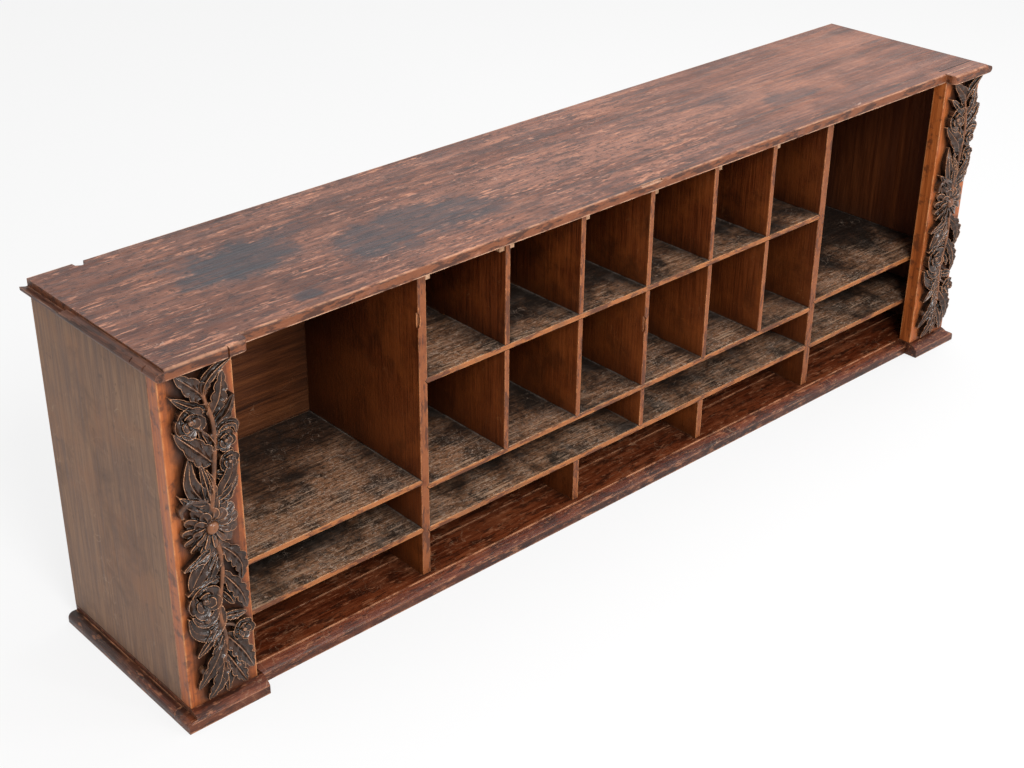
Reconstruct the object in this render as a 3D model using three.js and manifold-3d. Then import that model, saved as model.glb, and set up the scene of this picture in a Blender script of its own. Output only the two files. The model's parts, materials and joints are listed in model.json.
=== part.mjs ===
// Pigeonhole mail sorter: a long, low wooden cabinet of open letter compartments
// between two carved pilasters. Millimetres, +Z up, +X to the right, the open front faces -Y.
// The origin is the centre of the footprint, on the floor.
import * as THREE from "three";
import { mergeVertices } from "three/addons/utils/BufferGeometryUtils.js";
import Module from "manifold-3d";

const wasm = await Module();
wasm.setup();

// Boards
const TOP_T = 16;
const BASE_T = 26;
const PANEL_T = 16;
const PARTITION_T = 15.5;
const DIVIDER_T = 9.3;
const LOW_DIVIDER_T = 12;
const SHELF_T = 9;
const BACK_T = 7;

// Clear sizes inside the carcass
const CARCASS_H = 526;
const INNER_DEPTH = 284;
const LEFT_BAY_W = 430.5;
const RIGHT_BAY_W = 366;
const COLUMN_W = [153, 147, 143, 141, 137, 134];

// Heights of the shelf tops above the base board
const SHELF_1_Z = 344;
const SHELF_2_Z = 161.5;
const SHELF_3_Z = 84;
const LEFT_UPPER_Z = 174;
const LEFT_LOWER_Z = 88;
const RIGHT_UPPER_Z = 173;
const RIGHT_LOWER_Z = 82.5;

// Pilasters stand on the front edges of the end panels
const LEFT_PILASTER_W = 112;
const RIGHT_PILASTER_W = 105;
const PILASTER_T = 24;
const PILASTER_LEAD = 7.5;

// Top: board, end mouldings and the returns that break forward over the pilasters
const TOP_RETURN_LAP = 17.5;
const TOP_BREAK = 20;
const TOP_BACK_LAP = 13;
const TOP_END_INSET = 4;
const TOP_ARRIS_R = 4;
const TOP_RETURN_ARRIS_R = 6;
const TOP_RETURN_CORNER_R = 9;
const TOP_MOULDING_W = 14;
const TOP_MOULDING_H = 12.5;

// Base: two boards, end mouldings and the returns under the pilasters
const BASE_RETURN_LAP = 17.5;
const BASE_BREAK = 25.5;
const BASE_FACE_H = 14.5;
const BASE_LEVEL_LEAD = 2;
const BASE_FRONT_BOARD_DEPTH = 62;
const BASE_MOULDING_W = 15;
const BASE_MOULDING_H = 17;
const BASE_MOULDING_R = 9;
const BASE_BOARD_GAP = 0.8;

// Inner ends of the returns past the pilasters
const TOP_LEFT_LAP = 17;
const TOP_RIGHT_LAP = 0;
const BASE_LEFT_LAP = 9;
const BASE_RIGHT_LAP = 0;

// Joints
const JOINT_GAP = 0.3;
const SHELF_TIP = 4;
const FOOT_TIP = 3;
const HALVING_SHARE = 0.5;
const BACK_BOARDS = 3;
const BACK_BOARD_GAP = 0.8;
const CLEAT_W = 10;
const CLEAT_H = 26;
const CLEAT_L = 240;
const CLEAT_SETBACK = 3;
const GRID_PER_MM = 1024;
const OVERCUT = 1;

// Carved drops on the pilasters
const CARVING_RELIEF = 17;
const STEM_W = 9;
const DAISY_R = 40;
const DAISY_PETALS = 15;
const DAISY_INNER_R = 25;
const BOSS_R = 9;
const CARVING_LEFT_MARGIN = 11;
const CARVING_RIGHT_MARGIN = 6.5;
const CARVING_HEAD_MARGIN = 5;
const CARVING_FOOT_MARGIN = 5;

// Positions along X
const columnsW = COLUMN_W.reduce((sum, w) => sum + w, 0);
const innerW = LEFT_BAY_W + columnsW + (COLUMN_W.length - 1) * DIVIDER_T + 2 * PARTITION_T + RIGHT_BAY_W;
const xInner = innerW / 2;
const xPanel = xInner + PANEL_T;
const xTop = xPanel - TOP_END_INSET;
const xBase = xPanel + BASE_MOULDING_W;
const xLeftPilaster = -xPanel + LEFT_PILASTER_W;
const xRightPilaster = xPanel - RIGHT_PILASTER_W;
const xTopReturns = [xLeftPilaster + TOP_LEFT_LAP, xRightPilaster - TOP_RIGHT_LAP];
const xBaseReturns = [xLeftPilaster + BASE_LEFT_LAP, xRightPilaster - BASE_RIGHT_LAP];
const leftPartition = [-xInner + LEFT_BAY_W, -xInner + LEFT_BAY_W + PARTITION_T];
const dividers = [];
let cursor = leftPartition[1];
for (const width of COLUMN_W.slice(0, -1)) {
  dividers.push([cursor + width, cursor + width + DIVIDER_T]);
  cursor += width + DIVIDER_T;
}
const rightPartition = [xInner - RIGHT_BAY_W - PARTITION_T, xInner - RIGHT_BAY_W];

// Positions along Y: shelfY is the plane of the shelf and divider fronts
const pilasterLead = PILASTER_LEAD + PILASTER_T;
const frontLead = pilasterLead + Math.max(TOP_RETURN_LAP, BASE_RETURN_LAP);
const depth = frontLead + INNER_DEPTH + BACK_T + TOP_BACK_LAP;
const shelfY = -depth / 2 + frontLead;
const panelY = shelfY - PILASTER_LEAD;
const pilasterY = panelY - PILASTER_T;
const topReturnY = pilasterY - TOP_RETURN_LAP;
const topY = topReturnY + TOP_BREAK;
const baseReturnY = pilasterY - BASE_RETURN_LAP;
const baseY = baseReturnY + BASE_BREAK;
const innerBackY = shelfY + INNER_DEPTH;
const backY = innerBackY + BACK_T;
const topBackY = backY + TOP_BACK_LAP;
const baseJointY = shelfY + BASE_FRONT_BOARD_DEPTH;

// Positions along Z
const floorZ = BASE_T;
const ceilingZ = BASE_T + CARCASS_H;
const topZ = ceilingZ + TOP_T;

// Colours of the woods
const TOP_WOOD = 0x7a4a36;
const BASE_WOOD = 0x6b3a26;
const PANEL_WOOD = 0x6a5544;
const PILASTER_WOOD = 0x9a5a2c;
const CARVED_WOOD = 0x33251d;
const DIVIDER_WOOD = 0x7c4120;
const SHELF_WOOD = 0x5a3d2c;
const BACK_WOOD = 0x43281a;
const CLEAT_WOOD = 0xb08a62;

const sorter = new THREE.Group();

// Vertices sit on a fine grid, so faces that meet lie in exactly one plane.
function add(name, geometry, color, roughness) {
  const { array } = geometry.attributes.position;
  for (let i = 0; i < array.length; i += 1) array[i] = Math.round(array[i] * GRID_PER_MM) / GRID_PER_MM;
  const mesh = new THREE.Mesh(geometry, new THREE.MeshStandardMaterial({ color, roughness, metalness: 0 }));
  mesh.name = name;
  sorter.add(mesh);
}

// Closed outline from corner points.
function outline(points) {
  return new THREE.Shape(points.map(([a, b]) => new THREE.Vector2(a, b)));
}

// Prism of an (x, z) outline between two depths.
function prismY(shape, front, back, curveSegments = 6) {
  const options = { depth: back - front, bevelEnabled: false, curveSegments };
  const geometry = new THREE.ExtrudeGeometry(shape, options);
  return geometry.rotateX(Math.PI / 2).translate(0, back, 0);
}

// Prism of a (y, z) outline between two positions along the cabinet.
function prismX(shape, left, right, curveSegments = 6) {
  const options = { depth: right - left, bevelEnabled: false, curveSegments };
  const geometry = new THREE.ExtrudeGeometry(shape, options);
  const turn = new THREE.Matrix4().makeBasis(
    new THREE.Vector3(0, 1, 0),
    new THREE.Vector3(0, 0, 1),
    new THREE.Vector3(1, 0, 0),
  );
  return geometry.applyMatrix4(turn).translate(left, 0, 0);
}

// Prism of an (x, y) outline between two heights.
function prismZ(shape, bottom, top, curveSegments = 6) {
  const options = { depth: top - bottom, bevelEnabled: false, curveSegments };
  const geometry = new THREE.ExtrudeGeometry(shape, options);
  return geometry.translate(0, 0, bottom);
}

function box(x0, x1, y0, y1, z0, z1) {
  const geometry = new THREE.BoxGeometry(x1 - x0, y1 - y0, z1 - z0);
  return geometry.translate((x0 + x1) / 2, (y0 + y1) / 2, (z0 + z1) / 2);
}

function solid(geometry) {
  const bare = geometry.clone();
  bare.deleteAttribute("normal");
  bare.deleteAttribute("uv");
  const merged = mergeVertices(bare, 1e-4);
  return new wasm.Manifold(new wasm.Mesh({
    numProp: 3,
    vertProperties: new Float32Array(merged.attributes.position.array),
    triVerts: new Uint32Array(merged.index.array),
  }));
}

function surface(body) {
  const mesh = body.getMesh();
  const geometry = new THREE.BufferGeometry();
  geometry.setAttribute("position", new THREE.BufferAttribute(new Float32Array(mesh.vertProperties), 3));
  geometry.setIndex(new THREE.BufferAttribute(new Uint32Array(mesh.triVerts), 1));
  const flat = geometry.toNonIndexed();
  flat.computeVertexNormals();
  return flat;
}

// Top board, its upper front arris rounded between the returns
const topBlock = box(-xTop, xTop, topY, topBackY, ceilingZ, topZ);
const arris = new THREE.Shape();
arris.moveTo(topY - OVERCUT, topZ + OVERCUT);
arris.lineTo(topY - OVERCUT, topZ - TOP_ARRIS_R);
arris.lineTo(topY, topZ - TOP_ARRIS_R);
arris.absarc(topY + TOP_ARRIS_R, topZ - TOP_ARRIS_R, TOP_ARRIS_R, Math.PI, Math.PI / 2, true);
arris.lineTo(topY + TOP_ARRIS_R, topZ + OVERCUT);
const arrisCut = solid(prismX(arris, ...xTopReturns));
add("top_board", surface(solid(topBlock).subtract(arrisCut)), TOP_WOOD, 0.55);

// Top returns: blocks over the pilasters with a rounded front arris and a rounded inner corner
const nosing = new THREE.Shape();
nosing.moveTo(topReturnY, ceilingZ);
nosing.lineTo(topY, ceilingZ);
nosing.lineTo(topY, topZ);
const [nosingY, nosingZ] = [topReturnY + TOP_RETURN_ARRIS_R, topZ - TOP_RETURN_ARRIS_R];
nosing.lineTo(nosingY, topZ);
nosing.absarc(nosingY, nosingZ, TOP_RETURN_ARRIS_R, Math.PI / 2, Math.PI, false);
function topReturn(outer, inner) {
  const side = Math.sign(inner - outer);
  const plan = new THREE.Shape();
  const corner = inner - side * TOP_RETURN_CORNER_R;
  const points = [[outer, topReturnY], [corner, topReturnY]];
  for (let step = 1; step <= 5; step += 1) {
    const angle = (step / 5) * (Math.PI / 2);
    const across = corner + side * TOP_RETURN_CORNER_R * Math.sin(angle);
    points.push([across, topReturnY + TOP_RETURN_CORNER_R * (1 - Math.cos(angle))]);
  }
  points.push([inner, topY], [outer, topY]);
  plan.setFromPoints((side > 0 ? points : points.reverse()).map(([a, b]) => new THREE.Vector2(a, b)));
  const bar = solid(prismX(nosing, Math.min(outer, inner), Math.max(outer, inner)));
  return surface(bar.intersect(solid(prismZ(plan, ceilingZ - OVERCUT, topZ + OVERCUT))));
}
add("top_left_return", topReturn(-xTop, xTopReturns[0]), TOP_WOOD, 0.5);
add("top_right_return", topReturn(xTop, xTopReturns[1]), TOP_WOOD, 0.5);

// Half-round mouldings along the ends of the top
function topMoulding(side) {
  const shape = new THREE.Shape();
  const axisZ = ceilingZ + TOP_MOULDING_H / 2;
  const points = [[xTop, ceilingZ]];
  for (let step = 0; step <= 8; step += 1) {
    const angle = -Math.PI / 2 + (step / 8) * Math.PI;
    const across = TOP_MOULDING_W / 2 * (1 + Math.cos(angle));
    points.push([xTop + across, axisZ + TOP_MOULDING_H / 2 * Math.sin(angle)]);
  }
  points.push([xTop, ceilingZ + TOP_MOULDING_H]);
  const sided = points.map(([x, z]) => new THREE.Vector2(side * x, z));
  shape.setFromPoints(side > 0 ? sided : sided.reverse());
  return prismY(shape, topReturnY, topBackY);
}
add("top_left_end_moulding", topMoulding(-1), TOP_WOOD, 0.6);
add("top_right_end_moulding", topMoulding(1), TOP_WOOD, 0.6);

// Sloping moulded edge of the base: an upright face below a gently rounded slope
function baseEdge(front, level, back) {
  const shape = new THREE.Shape();
  shape.moveTo(front, 0);
  shape.lineTo(back, 0);
  shape.lineTo(back, BASE_T);
  shape.lineTo(level, BASE_T);
  const rise = BASE_T - BASE_FACE_H;
  shape.quadraticCurveTo(front + (level - front) * 0.3, BASE_FACE_H + rise * 0.7, front, BASE_FACE_H);
  return shape;
}
const frontSection = baseEdge(baseY, shelfY - BASE_LEVEL_LEAD, baseJointY);
const frontEdge = solid(prismX(frontSection, ...xBaseReturns));
const frontBoard = solid(box(-xPanel, xPanel, panelY, baseJointY, 0, BASE_T));
add("base_front_board", surface(frontBoard.add(frontEdge)), BASE_WOOD, 0.45);
add("base_rear_board", box(-xPanel, xPanel, baseJointY + BASE_BOARD_GAP, backY, 0, BASE_T), BASE_WOOD, 0.6);

// Base mouldings along the ends, quarter-round on top
function baseEnd(side) {
  const radius = BASE_MOULDING_R;
  const [axisX, axisZ] = [xBase - radius, BASE_MOULDING_H - radius];
  const points = [[xPanel, 0], [xBase, 0]];
  for (let step = 0; step <= 5; step += 1) {
    const angle = (step / 5) * (Math.PI / 2);
    points.push([axisX + radius * Math.cos(angle), axisZ + radius * Math.sin(angle)]);
  }
  points.push([xPanel, BASE_MOULDING_H]);
  const sided = points.map(([x, z]) => new THREE.Vector2(side * x, z));
  return side > 0 ? sided : sided.reverse();
}
add("base_left_end_moulding", prismY(new THREE.Shape(baseEnd(-1)), panelY, backY), BASE_WOOD, 0.6);
add("base_right_end_moulding", prismY(new THREE.Shape(baseEnd(1)), panelY, backY), BASE_WOOD, 0.6);

// Base returns carry the pilasters and close the front corners
function baseReturn(inner) {
  const side = Math.sign(inner);
  const span = [side * xBase, inner].sort((a, b) => a - b);
  const level = [side * xPanel, inner].sort((a, b) => a - b);
  const bar = prismX(baseEdge(baseReturnY, pilasterY, panelY), ...span);
  const end = baseEnd(side).map((point) => [point.x, point.y]);
  const [front, back] = [baseReturnY - OVERCUT, panelY + OVERCUT];
  const rounded = solid(prismY(outline(end), front, back));
  const block = solid(box(...level, front, back, -OVERCUT, BASE_T + OVERCUT));
  return surface(solid(bar).intersect(rounded.add(block)));
}
add("base_left_return", baseReturn(xBaseReturns[0]), BASE_WOOD, 0.45);
add("base_right_return", baseReturn(xBaseReturns[1]), BASE_WOOD, 0.45);

// Upright board with pointed grooves for shelf ends in its left and right faces
function upright(x0, x1, z0, z1, leftShelves, rightShelves) {
  const points = [[x0, z0], [x1, z0]];
  const groove = (face, inward, z) => [
    [face, z - SHELF_T - JOINT_GAP],
    [face + inward * (SHELF_TIP + JOINT_GAP), z - SHELF_T / 2],
    [face, z + JOINT_GAP],
  ];
  for (const z of [...rightShelves].sort((a, b) => a - b)) points.push(...groove(x1, -1, z));
  points.push([x1, z1], [x0, z1]);
  for (const z of [...leftShelves].sort((a, b) => b - a)) points.push(...groove(x0, 1, z).reverse());
  return outline(points);
}
const centreZ = [SHELF_1_Z, SHELF_2_Z, SHELF_3_Z].map((z) => floorZ + z);
const leftZ = [LEFT_UPPER_Z, LEFT_LOWER_Z].map((z) => floorZ + z);
const rightZ = [RIGHT_UPPER_Z, RIGHT_LOWER_Z].map((z) => floorZ + z);
const leftEnd = upright(-xPanel, -xInner, floorZ, ceilingZ, [], leftZ);
const rightEnd = upright(xInner, xPanel, floorZ, ceilingZ, rightZ, []);
add("left_end_panel", prismY(leftEnd, panelY, backY), PANEL_WOOD, 0.7);
add("right_end_panel", prismY(rightEnd, panelY, backY), PANEL_WOOD, 0.7);
const leftUpright = upright(...leftPartition, floorZ, ceilingZ, leftZ, centreZ);
const rightUpright = upright(...rightPartition, floorZ, ceilingZ, centreZ, rightZ);
add("left_partition", prismY(leftUpright, shelfY, innerBackY), DIVIDER_WOOD, 0.65);
add("right_partition", prismY(rightUpright, shelfY, innerBackY), DIVIDER_WOOD, 0.65);
add("left_pilaster", box(-xPanel, xLeftPilaster, pilasterY, panelY, floorZ, ceilingZ), PILASTER_WOOD, 0.5);
add("right_pilaster", box(xRightPilaster, xPanel, pilasterY, panelY, floorZ, ceilingZ), PILASTER_WOOD, 0.5);

// Horizontal back boards between the end panels
const backPitch = (CARCASS_H + BACK_BOARD_GAP) / BACK_BOARDS;
for (let board = 0; board < BACK_BOARDS; board += 1) {
  const low = floorZ + board * backPitch;
  const high = low + backPitch - BACK_BOARD_GAP;
  add(`back_board_${board + 1}`, box(-xInner, xInner, innerBackY, backY, low, high), BACK_WOOD, 0.8);
}

// Shelf with pointed ends, and pointed grooves in its top for divider feet
function shelf(x0, x1, z, feet) {
  const points = [[x0, z - SHELF_T], [x1, z - SHELF_T], [x1 + SHELF_TIP, z - SHELF_T / 2], [x1, z]];
  for (const [f0, f1] of [...feet].reverse()) {
    points.push([f1 + JOINT_GAP, z], [(f0 + f1) / 2, z - FOOT_TIP - JOINT_GAP], [f0 - JOINT_GAP, z]);
  }
  points.push([x0, z], [x0 - SHELF_TIP, z - SHELF_T / 2]);
  return prismY(outline(points), shelfY, innerBackY);
}
add("left_bay_upper_shelf", shelf(-xInner, leftPartition[0], leftZ[0], []), SHELF_WOOD, 0.7);
add("left_bay_lower_shelf", shelf(-xInner, leftPartition[0], leftZ[1], []), SHELF_WOOD, 0.7);
add("right_bay_upper_shelf", shelf(rightPartition[1], xInner, rightZ[0], []), SHELF_WOOD, 0.7);
add("right_bay_lower_shelf", shelf(rightPartition[1], xInner, rightZ[1], []), SHELF_WOOD, 0.7);

// Where an upright crosses a shelf each is halved: the shelf runs through in front, the upright behind
const halvingY = shelfY + INNER_DEPTH * HALVING_SHARE;
function shelfSlot([d0, d1], z) {
  const [low, high] = [z - SHELF_T - OVERCUT, z + OVERCUT];
  return solid(box(d0 - JOINT_GAP, d1 + JOINT_GAP, halvingY, innerBackY + OVERCUT, low, high));
}
function dividerSlot([d0, d1], z) {
  const [low, high] = [z - SHELF_T - JOINT_GAP, z + JOINT_GAP];
  return solid(box(d0 - OVERCUT, d1 + OVERCUT, shelfY - OVERCUT, halvingY + JOINT_GAP, low, high));
}
const [centreLeft, centreRight] = [leftPartition[1], rightPartition[0]];
const middle = dividers[Math.floor(dividers.length / 2)];
const short = dividers.filter((divider) => divider !== middle);
let shelf1 = solid(shelf(centreLeft, centreRight, centreZ[0], []));
for (const divider of dividers) shelf1 = shelf1.subtract(shelfSlot(divider, centreZ[0]));
add("centre_shelf_1", surface(shelf1), SHELF_WOOD, 0.7);
const shelf2 = solid(shelf(centreLeft, centreRight, centreZ[1], short));
add("centre_shelf_2", surface(shelf2.subtract(shelfSlot(middle, centreZ[1]))), SHELF_WOOD, 0.7);
add("centre_shelf_3", shelf(centreLeft, centreRight, centreZ[2], [middle]), SHELF_WOOD, 0.7);

// Dividers with pointed feet
dividers.forEach((divider, index) => {
  const [d0, d1] = divider;
  const foot = divider === middle ? centreZ[2] : centreZ[1];
  const point = [(d0 + d1) / 2, foot - FOOT_TIP];
  const blade = outline([[d0, foot], point, [d1, foot], [d1, ceilingZ], [d0, ceilingZ]]);
  let body = solid(prismY(blade, shelfY, innerBackY)).subtract(dividerSlot(divider, centreZ[0]));
  if (divider === middle) body = body.subtract(dividerSlot(divider, centreZ[1]));
  add(`divider_${index + 1}`, surface(body), DIVIDER_WOOD, 0.6);
});

// Low dividers under the lowest centre shelf, in line with the second and fourth dividers
function lowDivider([d0, d1]) {
  const centre = (d0 + d1) / 2;
  const half = LOW_DIVIDER_T / 2;
  return box(centre - half, centre + half, shelfY, innerBackY, floorZ, centreZ[2] - SHELF_T);
}
add("low_divider_left", lowDivider(dividers[1]), DIVIDER_WOOD, 0.6);
add("low_divider_right", lowDivider(dividers[3]), DIVIDER_WOOD, 0.6);

// Cleats under the top hold the heads of the uprights
function cleat(face, side) {
  const [x0, x1] = side > 0 ? [face, face + CLEAT_W] : [face - CLEAT_W, face];
  const front = shelfY + CLEAT_SETBACK;
  return box(x0, x1, front, front + CLEAT_L, ceilingZ - CLEAT_H, ceilingZ);
}
add("left_partition_cleat", cleat(leftPartition[1], 1), CLEAT_WOOD, 0.8);
add("divider_1_left_cleat", cleat(dividers[0][0], -1), CLEAT_WOOD, 0.8);
dividers.forEach((divider, index) => {
  add(`divider_${index + 1}_right_cleat`, cleat(divider[1], 1), CLEAT_WOOD, 0.8);
});

// Carving, drawn as on the pilaster's face: u across from its centre line, v up from its foot.
// Each motif has a flat back on the pilaster and its own share of the relief.
function motif(shape, share, curveSegments) {
  return solid(prismY(shape, -CARVING_RELIEF * share, 0, curveSegments));
}
function leaf(u0, v0, u1, v1, width, share) {
  const shape = new THREE.Shape();
  const length = Math.hypot(u1 - u0, v1 - v0);
  const across = [-(v1 - v0) / length * width, (u1 - u0) / length * width];
  const [um, vm] = [u0 + (u1 - u0) * 0.55, v0 + (v1 - v0) * 0.55];
  shape.moveTo(u0, v0);
  shape.quadraticCurveTo(um - across[0], vm - across[1], u1, v1);
  shape.quadraticCurveTo(um + across[0], vm + across[1], u0, v0);
  return motif(shape, share, 5);
}
function bloom(u, v, radiusU, radiusV, share) {
  const shape = new THREE.Shape();
  shape.absellipse(u, v, radiusU, radiusV, 0, 2 * Math.PI, false, 0);
  return motif(shape, share, 12);
}
function stem(points, share) {
  const curve = new THREE.SplineCurve(points.map(([u, v]) => new THREE.Vector2(u, v)));
  const left = [];
  const right = [];
  const steps = 4 * (points.length - 1);
  for (let step = 0; step <= steps; step += 1) {
    const point = curve.getPoint(step / steps);
    const along = curve.getTangent(step / steps);
    left.push([point.x - along.y * STEM_W / 2, point.y + along.x * STEM_W / 2]);
    right.push([point.x + along.y * STEM_W / 2, point.y - along.x * STEM_W / 2]);
  }
  return motif(outline([...right, ...left.reverse()]), share, 1);
}
function daisy(u, v) {
  const points = [];
  const steps = 4 * DAISY_PETALS;
  for (let step = 0; step < steps; step += 1) {
    const angle = (step / steps) * 2 * Math.PI;
    const radius = DAISY_R * (0.9 - 0.1 * Math.cos(DAISY_PETALS * angle));
    points.push([u + radius * Math.cos(angle), v + radius * Math.sin(angle)]);
  }
  return motif(outline(points), 0.7, 1);
}

function carvedDrop() {
  const pieces = [
    stem([[5, 484], [15, 440], [14, 390], [4, 316]], 0.5),
    stem([[4, 262], [9, 210], [-2, 150], [5, 100], [0, 55]], 0.5),
    leaf(6, 474, -33, 519, 17, 0.65),
    leaf(5, 478, 49, 521, 13, 0.8),
    leaf(13, 446, 44, 506, 16, 0.65),
    leaf(12, 455, -40, 488, 10, 0.55),
    leaf(13, 430, 48, 472, 12, 0.75),
    bloom(-17, 448, 18, 20, 0.85),
    leaf(8, 384, -35, 440, 18, 0.6),
    leaf(14, 388, -8, 446, 12, 0.5),
    bloom(32, 424, 15, 17, 0.8),
    bloom(34, 391, 14, 14, 0.85),
    leaf(10, 372, 36, 396, 9, 0.55),
    leaf(1, 312, -30, 394, 13, 0.75),
    leaf(4, 312, -8, 378, 11, 0.6),
    leaf(9, 312, 45, 380, 13, 0.7),
    daisy(-1, 284),
    bloom(-1, 284, DAISY_INNER_R, DAISY_INNER_R, 0.88),
    bloom(-1, 284, BOSS_R, BOSS_R, 1),
    leaf(4, 252, -44, 212, 16, 0.75),
    leaf(2, 240, -45, 182, 15, 0.6),
    leaf(6, 250, 38, 186, 17, 0.7),
    bloom(-21, 172, 24, 18, 0.9),
    bloom(-22, 134, 23, 19, 0.85),
    leaf(6, 206, 43, 138, 14, 0.65),
    bloom(33, 104, 16, 17, 0.85),
    leaf(0, 130, 33, 104, 8, 0.5),
    leaf(2, 135, -38, 84, 10, 0.6),
    leaf(3, 104, -39, 34, 14, 0.65),
    leaf(2, 66, -28, 5, 16, 0.75),
    leaf(3, 100, 47, 26, 17, 0.75),
    leaf(2, 72, 38, 8, 13, 0.55),
  ];
  return pieces.reduce((body, piece) => body.add(piece));
}

// The drawing is fitted to each pilaster's face, inside its margins
const drawing = surface(carvedDrop());
drawing.computeBoundingBox();
function fittedDrop(x0, x1) {
  const { min, max } = drawing.boundingBox;
  const width = x1 - x0 - CARVING_LEFT_MARGIN - CARVING_RIGHT_MARGIN;
  const height = CARCASS_H - CARVING_HEAD_MARGIN - CARVING_FOOT_MARGIN;
  const drop = drawing.clone().translate(-min.x, 0, -min.z);
  drop.scale(width / (max.x - min.x), 1, height / (max.z - min.z));
  return drop.translate(x0 + CARVING_LEFT_MARGIN, pilasterY, floorZ + CARVING_FOOT_MARGIN);
}
const leftDrop = fittedDrop(-xPanel, xLeftPilaster);
const rightDrop = fittedDrop(xRightPilaster, xPanel);
add("left_carved_drop", leftDrop, CARVED_WOOD, 0.35);
add("right_carved_drop", rightDrop, CARVED_WOOD, 0.35);

export default sorter;
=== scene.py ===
# %% [markdown]
# # A pigeonhole mail sorter
# The object is a long, low oak and mahogany cabinet of open letter holes. Its boards come from the
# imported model, which fixes every size and place. This notebook gives those boards their old finish,
# carves the two foliage drops, and sets up the light and the camera.
# Everything is in metres: +X runs along the cabinet, the open front faces -Y, and +Z is up.

# %% Load the boards
import json
import math
import bmesh
import bpy
import numpy as np
from mathutils import Matrix, Vector


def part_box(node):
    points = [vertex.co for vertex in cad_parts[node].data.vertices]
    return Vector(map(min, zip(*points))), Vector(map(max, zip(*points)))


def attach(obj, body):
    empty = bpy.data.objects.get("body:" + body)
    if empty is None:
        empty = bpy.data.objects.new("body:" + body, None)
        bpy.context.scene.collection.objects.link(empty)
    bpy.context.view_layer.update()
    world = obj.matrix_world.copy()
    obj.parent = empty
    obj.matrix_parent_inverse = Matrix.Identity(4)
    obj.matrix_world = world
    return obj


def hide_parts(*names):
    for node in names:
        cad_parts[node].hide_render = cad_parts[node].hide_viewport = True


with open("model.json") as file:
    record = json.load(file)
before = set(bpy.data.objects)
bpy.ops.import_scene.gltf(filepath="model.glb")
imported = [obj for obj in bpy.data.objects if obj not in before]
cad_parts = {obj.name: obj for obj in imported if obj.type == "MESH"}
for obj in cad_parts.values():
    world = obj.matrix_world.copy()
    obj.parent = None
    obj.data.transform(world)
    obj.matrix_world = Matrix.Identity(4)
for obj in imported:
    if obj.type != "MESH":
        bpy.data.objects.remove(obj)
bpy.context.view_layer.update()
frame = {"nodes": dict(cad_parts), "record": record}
nodes = frame["nodes"]
scene = bpy.context.scene

# %% [markdown]
# ## Camera
# The photograph looks down on the cabinet from its front left corner with a normal lens.
# A camera can be aimed with a constraint, but here the viewing direction and the picture's own
# right-hand direction are known, so the rotation is written straight from them.

# %% Camera
CAMERA_AT = Vector((-1.7508, -1.7433, 1.5177))
CAMERA_LOOKS = Vector((0.5554, 0.6764, -0.4837)).normalized()
CAMERA_RIGHT = Vector((0.7670, -0.6414, -0.0163)).normalized()
SENSOR_MM = 36.0
LENS_MM = 57.6
SHIFT_X = 0.0853

camera_data = bpy.data.cameras.new("camera")
camera_data.sensor_width = SENSOR_MM
camera_data.lens = LENS_MM
camera_data.shift_x = SHIFT_X
camera = bpy.data.objects.new("camera", camera_data)
scene.collection.objects.link(camera)
camera_up = CAMERA_RIGHT.cross(CAMERA_LOOKS)
turn = Matrix((CAMERA_RIGHT, camera_up, -CAMERA_LOOKS)).transposed()
camera.matrix_world = Matrix.Translation(CAMERA_AT) @ turn.to_4x4()
scene.camera = camera
scene.view_settings.view_transform = "Standard"
print("camera height:", round(CAMERA_AT.z, 3))

# %% [markdown]
# ## Building shader trees
# Shader trees are long to write by hand, so a few small helpers make a node, feed a socket with a
# value or a link, and do the sums that come back in every finish.

# %% Shader helpers
def feed(tree, socket, value):
    if isinstance(value, bpy.types.NodeSocket):
        tree.links.new(value, socket)
    else:
        socket.default_value = value


def node(tree, kind, inputs=(), **settings):
    made = tree.nodes.new("ShaderNode" + kind)
    for name, value in settings.items():
        setattr(made, name, value)
    for name, value in dict(inputs).items():
        feed(tree, made.inputs[name], value)
    return made


def sums(tree, operation, a, b=0.0, clamp=False):
    made = node(tree, "Math", operation=operation, use_clamp=clamp)
    feed(tree, made.inputs[0], a)
    feed(tree, made.inputs[1], b)
    return made.outputs[0]


def mix(tree, share, a, b, blend="MIX"):
    made = node(tree, "Mix", data_type="RGBA", blend_type=blend)
    for index, value in ((0, share), (6, a), (7, b)):
        feed(tree, made.inputs[index], value)
    return made.outputs[2]


def rise(tree, value, low, high):
    """0 below low, 1 above high, and a smooth step between them."""
    inputs = {"Value": value, "From Min": low, "From Max": high}
    return node(tree, "MapRange", inputs, interpolation_type="SMOOTHSTEP").outputs["Result"]


def noise(tree, vector, scale, detail=3.0, roughness=0.55, distortion=0.0):
    inputs = {"Vector": vector, "Scale": scale, "Detail": detail}
    inputs.update({"Roughness": roughness, "Distortion": distortion})
    return node(tree, "TexNoise", inputs).outputs["Fac"]


def scaled(tree, vector, factors):
    made = node(tree, "VectorMath", operation="MULTIPLY")
    feed(tree, made.inputs[0], vector)
    feed(tree, made.inputs[1], factors)
    return made.outputs["Vector"]


def moved(tree, vector, offset):
    made = node(tree, "VectorMath", operation="ADD")
    feed(tree, made.inputs[0], vector)
    feed(tree, made.inputs[1], offset)
    return made.outputs["Vector"]


def new_group(name, inputs, outputs):
    tree = bpy.data.node_groups.new(name, "ShaderNodeTree")
    for label, kind, value in inputs:
        socket = tree.interface.new_socket(name=label, in_out="INPUT", socket_type="NodeSocket" + kind)
        socket.default_value = value
    for label in outputs:
        tree.interface.new_socket(name=label, in_out="OUTPUT", socket_type="NodeSocketFloat")
    entry = tree.nodes.new("NodeGroupInput").outputs
    leave = tree.nodes.new("NodeGroupOutput").inputs
    return tree, entry, leave


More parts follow.
